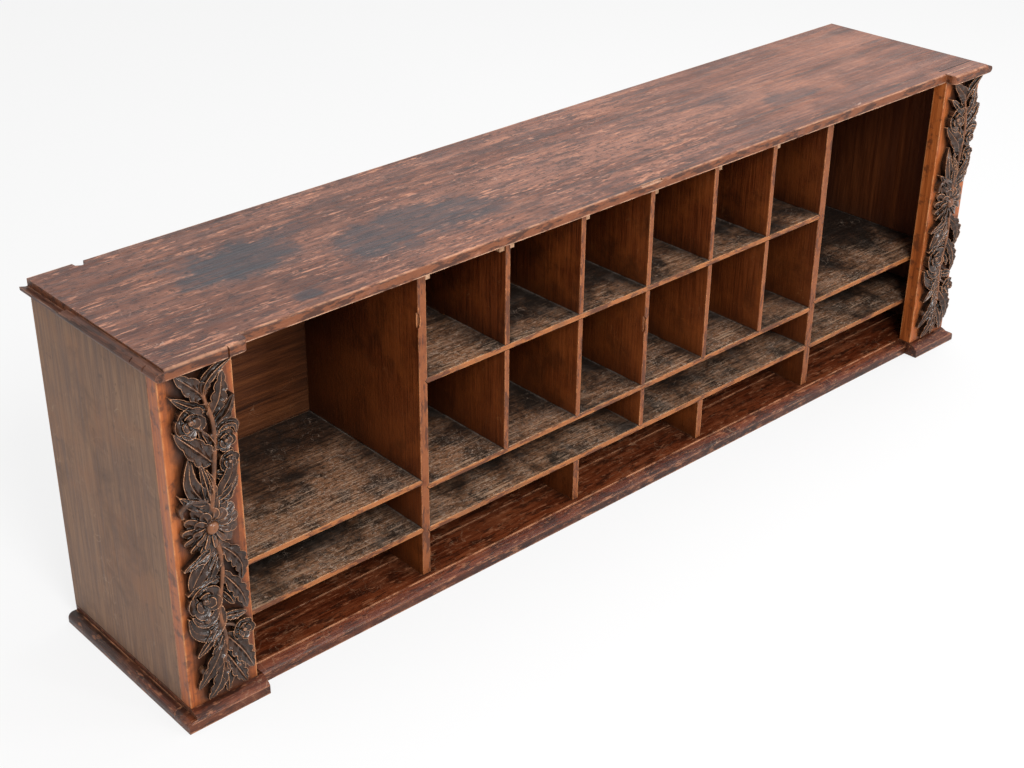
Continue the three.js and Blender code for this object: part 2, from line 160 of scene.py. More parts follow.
def place(tree, group, inputs):
    made = tree.nodes.new("ShaderNodeGroup")
    made.node_tree = group
    for label, value in inputs.items():
        feed(tree, made.inputs[label], value)
    return made.outputs


print("helpers ready")

# %% [markdown]
# ## Grain
# Wood is drawn out along the tree: its colour bands, fibres and pores are all long and thin.
# Stretched noise gives that, and one group holds all three. The Stretch input says which way the
# board was cut, and the Seed moves each board to its own part of the pattern.

# %% Grain group
GRAIN, entry, leave = new_group(
    "Grain",
    [("Vector", "Vector", (0, 0, 0)), ("Stretch", "Vector", (0.05, 1, 1)), ("Seed", "Float", 0.0)],
    ["Figure", "Fibre", "Pores"],
)
seed_step = node(GRAIN, "CombineXYZ", {"X": entry["Seed"], "Y": entry["Seed"], "Z": entry["Seed"]})
own_part = moved(GRAIN, entry["Vector"], scaled(GRAIN, seed_step.outputs[0], (13.1, 7.7, 3.9)))
drawn_out = scaled(GRAIN, own_part, entry["Stretch"])
feed(GRAIN, leave["Figure"], rise(GRAIN, noise(GRAIN, drawn_out, 16, 4, 0.6, 1.0), 0.25, 0.75))
feed(GRAIN, leave["Fibre"], rise(GRAIN, noise(GRAIN, drawn_out, 150, 5, 0.7, 0.2), 0.25, 0.75))
feed(GRAIN, leave["Pores"], rise(GRAIN, noise(GRAIN, drawn_out, 520, 2, 0.5), 0.6, 0.72))
print("group:", GRAIN.name)

# %% [markdown]
# ## Wear on the edges
# Hands and years rub the finish off the corners first. The Bevel node gives the normal that a
# rounded corner would have: where it differs from the real normal there is an edge nearby.
# Across holds the two directions across the board: edges that run along it count, and the ends,
# which meet other boards, don't. Noise breaks the line up, so that some stretches keep their polish.

# %% Edge wear group
EDGES, entry, leave = new_group(
    "Edge wear",
    [
        ("Vector", "Vector", (0, 0, 0)),
        ("Across", "Vector", (1, 1, 1)),
        ("Radius", "Float", 0.004),
        ("Scale", "Float", 40.0),
    ],
    ["Worn"],
)
rounded = node(EDGES, "Bevel", {"Radius": entry["Radius"]}, samples=6)
tilt = node(EDGES, "VectorMath", operation="SUBTRACT")
feed(EDGES, tilt.inputs[0], rounded.outputs["Normal"])
feed(EDGES, tilt.inputs[1], node(EDGES, "NewGeometry").outputs["Normal"])
turned = node(EDGES, "VectorMath", operation="LENGTH")
feed(EDGES, turned.inputs[0], scaled(EDGES, tilt.outputs["Vector"], entry["Across"]))
lengthwise = node(EDGES, "VectorMath", operation="SUBTRACT")
feed(EDGES, lengthwise.inputs[0], (1, 1, 1))
feed(EDGES, lengthwise.inputs[1], entry["Across"])
at_end = node(EDGES, "VectorMath", operation="LENGTH")
feed(EDGES, at_end.inputs[0], scaled(EDGES, tilt.outputs["Vector"], lengthwise.outputs["Vector"]))
inward = sums(EDGES, "SUBTRACT", 1.0, rise(EDGES, at_end.outputs["Value"], 0.04, 0.2))
near_edge = sums(EDGES, "MULTIPLY", rise(EDGES, turned.outputs["Value"], 0.12, 0.5), inward)
broken = rise(EDGES, noise(EDGES, entry["Vector"], entry["Scale"], 4, 0.65), 0.34, 0.6)
feed(EDGES, leave["Worn"], sums(EDGES, "MULTIPLY", near_edge, broken))
print("group:", EDGES.name)

# %% [markdown]
# ## Scuffs
# Boxes and papers dragged in and out leave dull smears, long curved scratches and short straight
# dashes. A thin line along one level of a noise field wanders like a scratch; noise that is turned
# and drawn out gives the dashes, and a second noise lets only some of them show.

# %% Scuff group
DASH_TURNS = (0.5, -0.9, 1.9)

SCUFFS, entry, leave = new_group(
    "Scuffs",
    [("Vector", "Vector", (0, 0, 0)), ("Scale", "Float", 1.0)],
    ["Smear", "Scratch", "Dash"],
)
spread = node(SCUFFS, "VectorMath", operation="SCALE")
feed(SCUFFS, spread.inputs[0], entry["Vector"])
feed(SCUFFS, spread.inputs["Scale"], entry["Scale"])
spread = spread.outputs["Vector"]
patch = noise(SCUFFS, spread, 11, 5, 0.68, 0.5)
feed(SCUFFS, leave["Smear"], rise(SCUFFS, patch, 0.48, 0.72))
level = sums(SCUFFS, "ABSOLUTE", sums(SCUFFS, "SUBTRACT", noise(SCUFFS, spread, 26, 2, 0.4, 0.6), 0.5))
line = sums(SCUFFS, "SUBTRACT", 1.0, rise(SCUFFS, level, 0.0, 0.012))
some = rise(SCUFFS, noise(SCUFFS, spread, 7, 2), 0.5, 0.66)
feed(SCUFFS, leave["Scratch"], sums(SCUFFS, "MULTIPLY", line, some))
dashes = 0.0
for turn_angle in DASH_TURNS:
    turned = node(SCUFFS, "VectorRotate", {"Vector": spread, "Angle": turn_angle})
    drawn_out = scaled(SCUFFS, turned.outputs["Vector"], (0.12, 1, 1))
    marks = rise(SCUFFS, noise(SCUFFS, drawn_out, 150, 2, 0.5), 0.63, 0.69)
    dashes = sums(SCUFFS, "MAXIMUM", marks, dashes)
where = rise(SCUFFS, noise(SCUFFS, spread, 16, 3), 0.4, 0.6)
feed(SCUFFS, leave["Dash"], sums(SCUFFS, "MULTIPLY", dashes, where))
print("group:", SCUFFS.name)

# %% [markdown]
# ## Painted shade in the corners
# The Ambient Occlusion node measures how closed in a point is. Over a few centimetres it gives the Shade mask, which
# paints shade into the corners and the back of each hole;
# over a few millimetres it gives the Seam mask, for the thin line of pale dust along each joint.

# %% Painted corner shade and dust group
SHADE_AND_DUST, entry, leave = new_group("Corner grime", [("Distance", "Float", 0.05)], ["Shade", "Seam"])
wide = node(SHADE_AND_DUST, "AmbientOcclusion", {"Distance": entry["Distance"]}, samples=6)
feed(SHADE_AND_DUST, leave["Shade"], sums(SHADE_AND_DUST, "SUBTRACT", 1.0, rise(SHADE_AND_DUST, wide.outputs["AO"], 0.4, 0.98)))
tight = node(SHADE_AND_DUST, "AmbientOcclusion", {"Distance": 0.004}, samples=4)
feed(SHADE_AND_DUST, leave["Seam"], sums(SHADE_AND_DUST, "SUBTRACT", 1.0, rise(SHADE_AND_DUST, tight.outputs["AO"], 0.5, 0.9)))
print("group:", SHADE_AND_DUST.name)

# %% [markdown]
# ## A wood finish
# Each wood starts the same way: grain colours from dark to light, darker pores, pale rubbed edges,
# then a fine bump from the fibres. A small class keeps the growing tree together, so that the top,
# the shelves and the others can lay their own stains, dust, painted shade and painted highlights over it.

# %% Wood class
ALONG_X = (0.045, 1.0, 1.0)
ALONG_Y = (1.0, 0.045, 1.0)
ALONG_Z = (1.0, 1.0, 0.045)
FINE_ALONG_Z = (2.4, 2.4, 0.07)
SEED_SPREAD = 5.0
FRONT_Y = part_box("centre_shelf_2")[0].y
BACK_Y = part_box("back_board_2")[0].y


class Finish:
    """The growing tree of one wood finish."""

    def __init__(self, name, stretch, dark, mid, light, figure_share=0.5):
        self.material = bpy.data.materials.new(name)
        self.material.use_nodes = True
        self.tree = self.material.node_tree
        self.shader = self.tree.nodes["Principled BSDF"]
        self.place = node(self.tree, "TexCoord").outputs["Object"]
        self.normal = node(self.tree, "NewGeometry").outputs["Normal"]
        chance = node(self.tree, "ObjectInfo").outputs["Random"]
        seed = sums(self.tree, "MULTIPLY", chance, SEED_SPREAD)
        grain = place(self.tree, GRAIN, {"Vector": self.place, "Stretch": stretch, "Seed": seed})
        self.figure, self.fibre, self.pores = grain["Figure"], grain["Fibre"], grain["Pores"]
        bands = sums(self.tree, "MULTIPLY", self.figure, figure_share)
        lines = sums(self.tree, "MULTIPLY", self.fibre, 1 - figure_share)
        ramp = node(self.tree, "ValToRGB", {"Fac": sums(self.tree, "ADD", bands, lines)})
        stops = ramp.color_ramp.elements
        stops[0].position, stops[0].color = 0.15, (*dark, 1)
        stops[1].position, stops[1].color = 0.85, (*light, 1)
        stops.new(0.5).color = (*mid, 1)
        self.colour = ramp.outputs["Color"]
        self.lay(sums(self.tree, "MULTIPLY", self.pores, 0.6), dark)
        self.dull = None
        self.height = self.fibre

    def lay(self, share, colour):
        """Lays a colour over the wood, as far as the share goes."""
        self.colour = mix(self.tree, share, self.colour, (*colour, 1))

    def times(self, *factors):
        total = factors[0]
        for factor in factors[1:]:
            total = sums(self.tree, "MULTIPLY", total, factor)
        return total

    def away(self, mask):
        """The opposite of a mask."""
        return sums(self.tree, "SUBTRACT", 1.0, mask)

    def patches(self, scale, low, high, detail=4.0, roughness=0.65):
        return rise(self.tree, noise(self.tree, self.place, scale, detail, roughness), low, high)

    def streaks(self, stretch, scale, low, high):
        drawn_out = scaled(self.tree, moved(self.tree, self.place, (scale * 0.01, 0, 0)), stretch)
        return rise(self.tree, noise(self.tree, drawn_out, scale, 4, 0.7), low, high)

    def facing(self, axis, sign, low=0.4, high=0.85):
        """1 on faces that look along one axis, 0 on the others."""
        part = node(self.tree, "SeparateXYZ", {"Vector": self.normal}).outputs[axis]
        return rise(self.tree, sums(self.tree, "MULTIPLY", part, sign), low, high)

    def along(self, axis):
        return node(self.tree, "SeparateXYZ", {"Vector": self.place}).outputs[axis]

    def depth(self):
        """0 at the open front and 1 at the back boards."""
        return rise(self.tree, self.along("Y"), FRONT_Y - 0.02, BACK_Y)

    def scuffs(self, scale):
        outputs = place(self.tree, SCUFFS, {"Vector": self.place, "Scale": scale})
        return outputs["Smear"], outputs["Scratch"], outputs["Dash"]

    # Shade is painted shade in corners and recesses; Seam is a thin line of pale dust at the joints.
    def shade_and_dust(self, distance):
        outputs = place(self.tree, SHADE_AND_DUST, {"Distance": distance})
        return outputs["Shade"], outputs["Seam"]

    def rub_edges(self, colour, radius, stretch, scale=40.0, strength=0.9):
        across = [0.0 if factor < 1 else 1.0 for factor in stretch]
        inputs = {"Vector": self.place, "Across": across, "Radius": radius, "Scale": scale}
        worn = place(self.tree, EDGES, inputs)["Worn"]
        self.lay(self.times(worn, strength), colour)
        return worn

    def close(self, roughness, spread, bump, specular=0.5, coat=0.0):
        """Feeds the shader: roughness varies by spread with the fibres, and the fibres stand up."""
        tree = self.tree
        feed(tree, self.shader.inputs["Base Color"], self.colour)
        vary = sums(tree, "MULTIPLY", sums(tree, "SUBTRACT", self.fibre, 0.5), spread)
        rough = sums(tree, "ADD", vary, roughness)
        if self.dull is not None:
            rough = sums(tree, "ADD", rough, self.dull, clamp=True)
        feed(tree, self.shader.inputs["Roughness"], rough)
        self.shader.inputs["Specular IOR Level"].default_value = specular
        self.shader.inputs["Coat Weight"].default_value = coat
        inputs = {"Height": self.height, "Strength": bump, "Distance": 0.0008}
        feed(tree, self.shader.inputs["Normal"], node(tree, "Bump", inputs).outputs["Normal"])
        return self.material


print("front at", round(FRONT_Y, 4), "back boards at", round(BACK_Y, 4))

# %% [markdown]
# ## Divider wood
# The uprights are a warm red-brown wood with vertical grain and a satin polish. Painted shade darkens
# them towards the back of each hole and in the corners, and painted light makes the lower rows a little
# lighter. Their front edges are handled all the time: rubbed to orange, with dark nicks where the polish has held.

# %% Divider finish
def divider_finish():
    dark, mid, light = (0.052, 0.010, 0.0020), (0.122, 0.025, 0.0046), (0.190, 0.045, 0.009)
    wood = Finish("old_divider_wood", FINE_ALONG_Z, dark, mid, light, figure_share=0.2)
    shade, seam = wood.shade_and_dust(0.05)
    wood.lay(wood.times(wood.patches(9, 0.42, 0.62), 0.45), (0.26, 0.066, 0.012))
    wood.lay(wood.times(wood.patches(14, 0.5, 0.68, 5), 0.6), (0.030, 0.008, 0.002))
    # painted shade: darker towards the back of each hole and in the corners
    wood.lay(wood.times(wood.depth(), 0.8), (0.012, 0.003, 0.001))
    wood.lay(wood.times(shade, 0.65), (0.012, 0.004, 0.0015))
    # painted light: the lower rows of holes a little lighter
    lit_low_row = wood.away(rise(wood.tree, wood.along("Z"), 0.33, 0.38))
    wood.lay(wood.times(lit_low_row, 0.12), (0.30, 0.075, 0.016))
    wood.lay(wood.times(rise(wood.tree, wood.along("X"), 0.46, 0.48), 0.3), (0.03, 0.007, 0.002))
    wood.lay(wood.times(wood.scuffs(3.0)[1], 0.3), (0.3, 0.13, 0.05))
    front = wood.facing("Y", -1)
    wood.lay(wood.times(front, wood.patches(22, 0.2, 0.52), 0.9), (0.24, 0.072, 0.021))
    wood.rub_edges((0.64, 0.27, 0.105), 0.0028, ALONG_Z)
    wood.lay(wood.times(front, wood.streaks((1, 1, 0.25), 90, 0.5, 0.58), 0.8), (0.07, 0.021, 0.009))
    wood.lay(wood.times(seam, wood.patches(25, 0.4, 0.6), 0.35), (0.2, 0.15, 0.11))
    return wood.close(0.42, 0.2, 0.4, specular=0.28)


DIVIDER_WOOD = divider_finish()
print("made", DIVIDER_WOOD.name)

# %% [markdown]
# ## Shelf wood
# The shelf tops darken to charcoal brown towards the back, painted shade with dust, and painted shade
# darkens them along the sides, where they meet the uprights. Towards the front they are worn back to tan,
# with fine scratches in every direction. Their rounded front edges have lost the finish and are bright orange-tan with
# dark nicks.

# %% Shelf finish
def shelf_finish():
    dark, mid, light = (0.028, 0.012, 0.006), (0.105, 0.046, 0.022), (0.23, 0.112, 0.056)
    wood = Finish("old_shelf_wood", ALONG_X, dark, mid, light, figure_share=0.4)
    tree = wood.tree
    up = wood.facing("Z", 1)
    cloud = noise(tree, wood.place, 9, 5, 0.7, 0.4)
    sway = sums(tree, "MULTIPLY", sums(tree, "SUBTRACT", cloud, 0.5), 2.4)
    reach = sums(tree, "ADD", wood.depth(), sway)
    shade, seam = wood.shade_and_dust(0.06)
    left_side = wood.times(wood.away(rise(tree, wood.along("X"), -0.42, -0.2)), rise(tree, wood.along("Z"), 0.15, 0.17))
    kept = wood.away(wood.times(left_side, 0.65))
    reach = sums(tree, "SUBTRACT", reach, wood.times(left_side, 0.45))
    zone = wood.times(up, wood.away(rise(tree, reach, -0.25, 0.4)), wood.away(wood.times(shade, 0.8)))
    # painted shade with dust: charcoal towards the back of each hole
    wood.lay(wood.times(rise(tree, reach, 0.05, 0.6), kept, 0.92), (0.017, 0.012, 0.009))
    wood.lay(wood.times(zone, 0.58), (0.37, 0.175, 0.088))
    wood.lay(wood.times(up, wood.patches(15, 0.47, 0.62, 5), 0.85), (0.016, 0.012, 0.009))
    # painted shade in the corners
    wood.lay(wood.times(shade, 0.75), (0.012, 0.009, 0.007))
    wood.lay(wood.times(up, wood.streaks((0.03, 1, 1), 110, 0.5, 0.6), 0.6), (0.016, 0.010, 0.007))
    wood.lay(wood.times(up, wood.streaks((0.5, 1, 1), 230, 0.5, 0.58), 0.7), (0.013, 0.009, 0.007))
    wood.lay(wood.times(zone, wood.streaks((0.35, 1, 1), 320, 0.55, 0.63), 0.7), (0.58, 0.41, 0.30))
    wood.lay(wood.times(zone, wood.streaks((0.05, 1, 1), 260, 0.53, 0.62), 0.65), (0.56, 0.35, 0.22))
    smear, scratch, dash = wood.scuffs(2.4)
    fine_smear, fine_scratch, fine_dash = wood.scuffs(6.0)
    wood.lay(wood.times(up, smear, wood.away(wood.depth()), 0.3), (0.22, 0.175, 0.145))
    wood.lay(wood.times(zone, fine_dash, 0.75), (0.60, 0.46, 0.36))
    wood.lay(wood.times(up, scratch, 0.45), (0.50, 0.37, 0.28))
    wood.lay(wood.times(zone, fine_scratch, 0.5), (0.62, 0.46, 0.34))
    front = wood.facing("Y", -1)
    wood.lay(wood.times(front, wood.patches(16, 0.2, 0.55), 0.92), (0.34, 0.112, 0.032))
    wood.rub_edges((0.68, 0.32, 0.125), 0.0030, ALONG_X)
    wood.lay(wood.times(front, wood.streaks((0.2, 1, 1), 90, 0.48, 0.57), 0.85), (0.08, 0.025, 0.012))
    wood.lay(wood.times(up, seam, wood.patches(25, 0.35, 0.6), 0.6), (0.26, 0.22, 0.19))
    return wood.close(0.55, 0.25, 0.6, specular=0.28)


SHELF_WOOD = shelf_finish()
print("made", SHELF_WOOD.name)

# %% [markdown]
# ## End panel wood
# Outside, the end panels are drier and greyer than the rest, with straight vertical grain and dark
# scuffs. Inside the bays they have the same polish as the uprights, so the place along X decides.

# %% Panel finish
def panel_finish():
    dark, mid, light = (0.120, 0.056, 0.030), (0.200, 0.106, 0.060), (0.28, 0.162, 0.097)
    wood = Finish("old_panel_wood", ALONG_Z, dark, mid, light, figure_share=0.2)
    tree = wood.tree
    smear, scratch, dash = wood.scuffs(1.3)
    wood.lay(wood.times(wood.patches(6, 0.5, 0.7), 0.5), (0.26, 0.115, 0.053))
    wood.lay(wood.times(smear, 0.5), (0.085, 0.042, 0.025))
    wood.lay(wood.times(wood.patches(50, 0.6, 0.7, 5), 0.5), (0.055, 0.027, 0.017))
    wood.lay(wood.times(scratch, 0.45), (0.40, 0.27, 0.18))
    outside = sums(tree, "ABSOLUTE", wood.along("X"))
    inner_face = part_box("right_end_panel")[0].x
    inside = wood.away(rise(tree, outside, inner_face + 0.001, inner_face + 0.003))
    lines = sums(tree, "MULTIPLY", wood.fibre, wood.figure)
    polish = mix(tree, lines, (0.07, 0.014, 0.0025, 1), (0.30, 0.080, 0.016, 1))
    wood.colour = mix(tree, inside, wood.colour, polish)
    shade, seam = wood.shade_and_dust(0.06)
    # painted shade: the inner faces darker towards the back, and every face darker in the corners
    wood.lay(wood.times(inside, wood.depth(), 0.6), (0.016, 0.004, 0.001))
    wood.lay(wood.times(shade, 0.6), (0.03, 0.012, 0.006))
    wood.rub_edges((0.40, 0.20, 0.1), 0.004, ALONG_Z)
    return wood.close(0.55, 0.25, 0.5, specular=0.3)


PANEL_WOOD = panel_finish()
print("made", PANEL_WOOD.name)

# %% [markdown]
# ## Pilaster wood
# The pilasters are a lively orange-brown and waxed. Beside the carving they are darker, dirt where the cloth can't
# reach together with painted shade under the leaves, following the distance from each pilaster's centre line; painted
# corner shade darkens the ground next to the carving.

# %% Pilaster finish
def pilaster_finish():
    dark, mid, light = (0.16, 0.034, 0.007), (0.37, 0.094, 0.019), (0.52, 0.160, 0.040)
    wood = Finish("old_pilaster_wood", ALONG_Z, dark, mid, light)
    tree = wood.tree
    across = wood.along("X")
    wander = sums(tree, "MULTIPLY", noise(tree, wood.place, 24, 4, 0.65), 0.05)
    # dirt together with painted shade under the leaves, along each pilaster's centre line
    dirt_and_shade = 0.0
    for pilaster, reach in (("left_pilaster", 0.056), ("right_pilaster", 0.042)):
        low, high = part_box(pilaster)
        off = sums(tree, "ABSOLUTE", sums(tree, "SUBTRACT", across, (low.x + high.x) / 2))
        near = wood.away(rise(tree, sums(tree, "ADD", off, wander), reach, reach + 0.022))
        dirt_and_shade = sums(tree, "MAXIMUM", near, dirt_and_shade)
    front = wood.facing("Y", -1)
    wood.lay(wood.times(front, dirt_and_shade, 0.85), (0.055, 0.016, 0.005))
    wood.lay(wood.times(wood.patches(45, 0.52, 0.66), 0.75), (0.08, 0.022, 0.008))
    # painted shade on the ground right next to the carving
    shade, seam = wood.shade_and_dust(0.022)
    wood.lay(wood.times(front, shade, 0.85), (0.022, 0.008, 0.004))
    wood.rub_edges((0.60, 0.27, 0.105), 0.004, ALONG_Z)
    return wood.close(0.4, 0.2, 0.35, specular=0.35)


PILASTER_WOOD = pilaster_finish()
print("made", PILASTER_WOOD.name)

# %% [markdown]
# ## Base wood
# The base is a polished dark red-brown, scratched where papers slide over it and rubbed bright
# along its front arris. The end mouldings run from front to back, so their grain does too.

# %% Base finish
def base_finish(name, stretch):
    dark, mid, light = (0.022, 0.004, 0.0015), (0.095, 0.018, 0.005), (0.20, 0.050, 0.016)
    wood = Finish(name, stretch, dark, mid, light)
    smear, scratch, dash = wood.scuffs(1.8)
    fine_smear, fine_scratch, fine_dash = wood.scuffs(4.5)
    up = wood.facing("Z", 1)
    shade, seam = wood.shade_and_dust(0.06)
    # painted shade: the upper faces darker towards the back of the holes, and every face darker in the corners
    wood.lay(wood.times(up, wood.depth(), 0.85), (0.016, 0.009, 0.006))
    wood.lay(wood.times(shade, 0.6), (0.014, 0.006, 0.003))
    wood.lay(wood.times(smear, 0.35), (0.22, 0.075, 0.032))
    across = [0.25 if factor < 1 else 1.0 for factor in stretch]
    wood.lay(wood.times(wood.streaks(across, 75, 0.5, 0.6), 0.75), (0.018, 0.005, 0.0025))
    wood.lay(wood.times(wood.streaks(across, 170, 0.55, 0.66), 0.6), (0.34, 0.135, 0.065))
    wood.lay(wood.times(dash, fine_smear, 0.4), (0.36, 0.19, 0.105))
    wood.lay(wood.times(scratch, 0.35), (0.46, 0.28, 0.17))
    wood.rub_edges((0.52, 0.235, 0.12), 0.004, stretch)
    return wood.close(0.36, 0.25, 0.5, specular=0.28)


BASE_WOOD = base_finish("old_base_wood", ALONG_X)
BASE_END_WOOD = base_finish("old_base_end_wood", ALONG_Y)
print("made", BASE_WOOD.name, BASE_END_WOOD.name)

# %% [markdown]
# ## Top wood
# The top is red-brown with worn orange streaks, and ink was spilt on it long ago. Each stain is an
# ellipse whose rim is pushed about by noise, so that it looks soaked in, and the raised fibres stay
# paler inside it. Painted shade darkens the top towards its left end, and the faces that look to the left are dark
# broken wood with painted shade. The front edge is browner than the face and mottled; its arris is rubbed pale, wear
# and a painted highlight together, and a painted highlight runs along the rounded nose.

# %% Top finish
# Centre along X and Y, reach along X and Y, and strength of each ink stain
INK_STAINS = (
    (-0.625, 0.028, 0.098, 0.058, 1.0),
    (-0.690, 0.010, 0.060, 0.026, 0.8),
    (-0.430, -0.040, 0.080, 0.058, 0.85),
    (-0.340, -0.030, 0.090, 0.060, 0.8),
    (-0.255, -0.055, 0.070, 0.036, 0.65),
    (0.480, -0.040, 0.070, 0.024, 0.6),
    (0.390, 0.020, 0.060, 0.030, 0.4),
    (-0.616, -0.123, 0.022, 0.013, 0.85),
    (-0.520, 0.075, 0.040, 0.020, 0.45),
)
INK = (0.030, 0.034, 0.043)
RETURN_JOINT_Y = -0.140


def top_finish():
    dark, mid, light = (0.046, 0.016, 0.011), (0.196, 0.073, 0.046), (0.39, 0.178, 0.119)
    wood = Finish("old_top_wood", ALONG_X, dark, mid, light)
    tree = wood.tree
    up = wood.facing("Z", 1, 0.55, 0.9)
    wood.lay(wood.times(wood.patches(7, 0.45, 0.7, 5), 0.6), (0.085, 0.035, 0.026))
    wood.lay(wood.times(wood.patches(5, 0.5, 0.66, 5), 0.4), (0.42, 0.170, 0.100))
    smear, scratch, dash = wood.scuffs(1.6)
    # painted shade: the top darker towards its left end
    shaded_left_end = wood.away(rise(tree, wood.along("X"), -0.95, 0.2))
    wood.lay(wood.times(shaded_left_end, 0.48), (0.080, 0.025, 0.014))
    wood.lay(wood.times(wood.streaks((0.08, 1, 1), 55, 0.53, 0.68), 0.4), (0.46, 0.195, 0.118))
    lively = wood.away(wood.times(rise(tree, wood.along("X"), 0.0, 0.6), 0.7))
    wood.lay(wood.times(wood.streaks((0.22, 1, 1), 70, 0.5, 0.6), lively, 0.65), (0.055, 0.025, 0.022))
    bare = wood.times(wood.streaks((0.16, 1, 1), 170, 0.53, 0.64), wood.patches(12, 0.38, 0.6), lively)
    wood.lay(wood.times(bare, 0.8), (0.62, 0.275, 0.165))
    wood.lay(wood.times(wood.streaks((0.4, 1, 1), 200, 0.54, 0.63), lively, 0.8), (0.035, 0.016, 0.014))
    wood.lay(wood.times(smear, scratch, 0.8), (0.60, 0.37, 0.28))
    wood.lay(wood.times(dash, smear, 0.25), (0.60, 0.37, 0.28))
    rim = sums(tree, "MULTIPLY", sums(tree, "SUBTRACT", noise(tree, wood.place, 24, 5, 0.7), 0.5), 2.2)
    ink = 0.0
    for x, y, reach_x, reach_y, strength in INK_STAINS:
        spot = scaled(tree, moved(tree, wood.place, (-x, -y, 0)), (1 / reach_x, 1 / reach_y, 0))
        length = node(tree, "VectorMath", operation="LENGTH")
        feed(tree, length.inputs[0], spot)
        far = rise(tree, sums(tree, "ADD", length.outputs["Value"], rim), 0.6, 1.3)
        ink = sums(tree, "MAXIMUM", sums(tree, "MULTIPLY", wood.away(far), strength), ink)
    thin = sums(tree, "MULTIPLY", wood.fibre, 0.35)
    wood.lay(wood.times(up, ink, wood.away(thin)), INK)
    joint = sums(tree, "ABSOLUTE", sums(tree, "SUBTRACT", wood.along("Y"), RETURN_JOINT_Y))
    line = wood.away(rise(tree, joint, 0.0010, 0.0022))
    wood.lay(wood.times(up, line, rise(tree, wood.along("X"), 0.776, 0.778)), (0.012, 0.005, 0.003))
    # dark broken wood on the faces that look to the left, with painted shade
    wood.lay(wood.times(wood.facing("X", -1), 0.85), (0.022, 0.009, 0.006))
    side = wood.away(up)
    wood.lay(wood.times(side, wood.patches(26, 0.2, 0.5), 0.9), (0.18, 0.054, 0.018))
    wood.lay(wood.times(side, wood.streaks((0.25, 1, 1), 95, 0.48, 0.58), 0.85), (0.04, 0.013, 0.007))
    # painted highlight along the rounded nose
    nose_highlight = wood.times(wood.facing("Y", -1, 0.2, 0.5), wood.facing("Z", 1, 0.35, 0.65))
    wood.lay(wood.times(nose_highlight, wood.patches(30, 0.36, 0.6), 0.45), (0.66, 0.34, 0.20))
    # worn arris and painted highlight together
    wood.rub_edges((0.76, 0.43, 0.27), 0.0034, ALONG_X, strength=0.75)
    return wood.close(0.42, 0.3, 0.6, specular=0.3)


def top_end_finish():
    dark, mid, light = (0.020, 0.008, 0.005), (0.080, 0.029, 0.017), (0.20, 0.085, 0.050)
    wood = Finish("old_top_end_wood", ALONG_Y, dark, mid, light)
    wood.lay(wood.times(wood.streaks((1, 0.25, 1), 90, 0.5, 0.6), 0.7), (0.014, 0.006, 0.004))
    # paler underside: wear, and a painted highlight along the lower edge
    under = wood.facing("Z", -1, 0.1, 0.6)
    wood.lay(wood.times(under, wood.patches(30, 0.3, 0.6), 0.8), (0.26, 0.17, 0.12))
    wood.rub_edges((0.40, 0.20, 0.12), 0.003, ALONG_Y, strength=0.6)
    return wood.close(0.42, 0.2, 0.5, specular=0.22)


TOP_WOOD = top_finish()
TOP_END_WOOD = top_end_finish()
print("made", TOP_WOOD.name, TOP_END_WOOD.name)

# %% [markdown]
# ## Back, cleats and carving
# The back boards are rough and dark, the little cleats under the top are bare pale wood, and the
# carving is almost black varnish, rubbed through to tan on its high edges and along its stem.
# Pointiness, which is high on ridges and low in hollows, finds those edges on a fine mesh; the hollows and
# the corners get painted shade. The carving's mesh stores in an attribute how near each point is to the stem.

# %% Other finishes
RUBBED = "rubbed"


def back_finish():
    wood = Finish("old_back_wood", ALONG_X, (0.030, 0.008, 0.002), (0.125, 0.036, 0.010), (0.22, 0.072, 0.022))
    shade, seam = wood.shade_and_dust(0.06)
    # painted shade in the corners
    wood.lay(wood.times(shade, 0.55), (0.014, 0.005, 0.002))
    wood.lay(wood.times(wood.scuffs(2.0)[1], 0.5), (0.3, 0.16, 0.09))
    return wood.close(0.65, 0.25, 0.7, specular=0.2)


def cleat_finish():
    wood = Finish("old_cleat_wood", ALONG_Y, (0.24, 0.12, 0.06), (0.46, 0.25, 0.14), (0.62, 0.38, 0.24))
    return wood.close(0.75, 0.1, 0.4, specular=0.3)


def carved_finish():
    wood = Finish("old_carved_wood", ALONG_Z, (0.011, 0.0045, 0.002), (0.036, 0.014, 0.0062), (0.082, 0.033, 0.015))
    tree = wood.tree
    rubbed = node(tree, "Attribute", attribute_name=RUBBED).outputs["Fac"]
    wood.lay(wood.times(rubbed, wood.patches(40, 0.3, 0.6), 0.8), (0.24, 0.085, 0.030))
    point = node(tree, "NewGeometry").outputs["Pointiness"]
    # painted shade in the hollows of the carving
    hollow = wood.away(rise(tree, point, 0.43, 0.50))
    wood.lay(wood.times(hollow, 0.9), (0.004, 0.0025, 0.0015))
    # painted shade in the corners between the leaves
    shade, seam = wood.shade_and_dust(0.018)
    wood.lay(wood.times(shade, 0.9), (0.004, 0.0025, 0.0015))
    swelling = rise(tree, point, 0.50, 0.56)
    wood.lay(wood.times(swelling, wood.patches(26, 0.35, 0.6), 0.6), (0.23, 0.095, 0.042))
    ridge = rise(tree, point, 0.517, 0.58)
    wood.lay(wood.times(ridge, wood.patches(32, 0.36, 0.57), 0.95), (0.66, 0.32, 0.16))
    return wood.close(0.22, 0.12, 0.2, specular=0.4)


BACK_WOOD = back_finish()
CLEAT_WOOD = cleat_finish()
CARVED_WOOD = carved_finish()
print("made", BACK_WOOD.name, CLEAT_WOOD.name, CARVED_WOOD.name)

# %% [markdown]
# ## Dressing the boards
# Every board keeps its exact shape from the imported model. Two modifiers soften it: Weld joins the
# corners that the file format keeps apart, and Bevel rounds each arris a little, as use does.

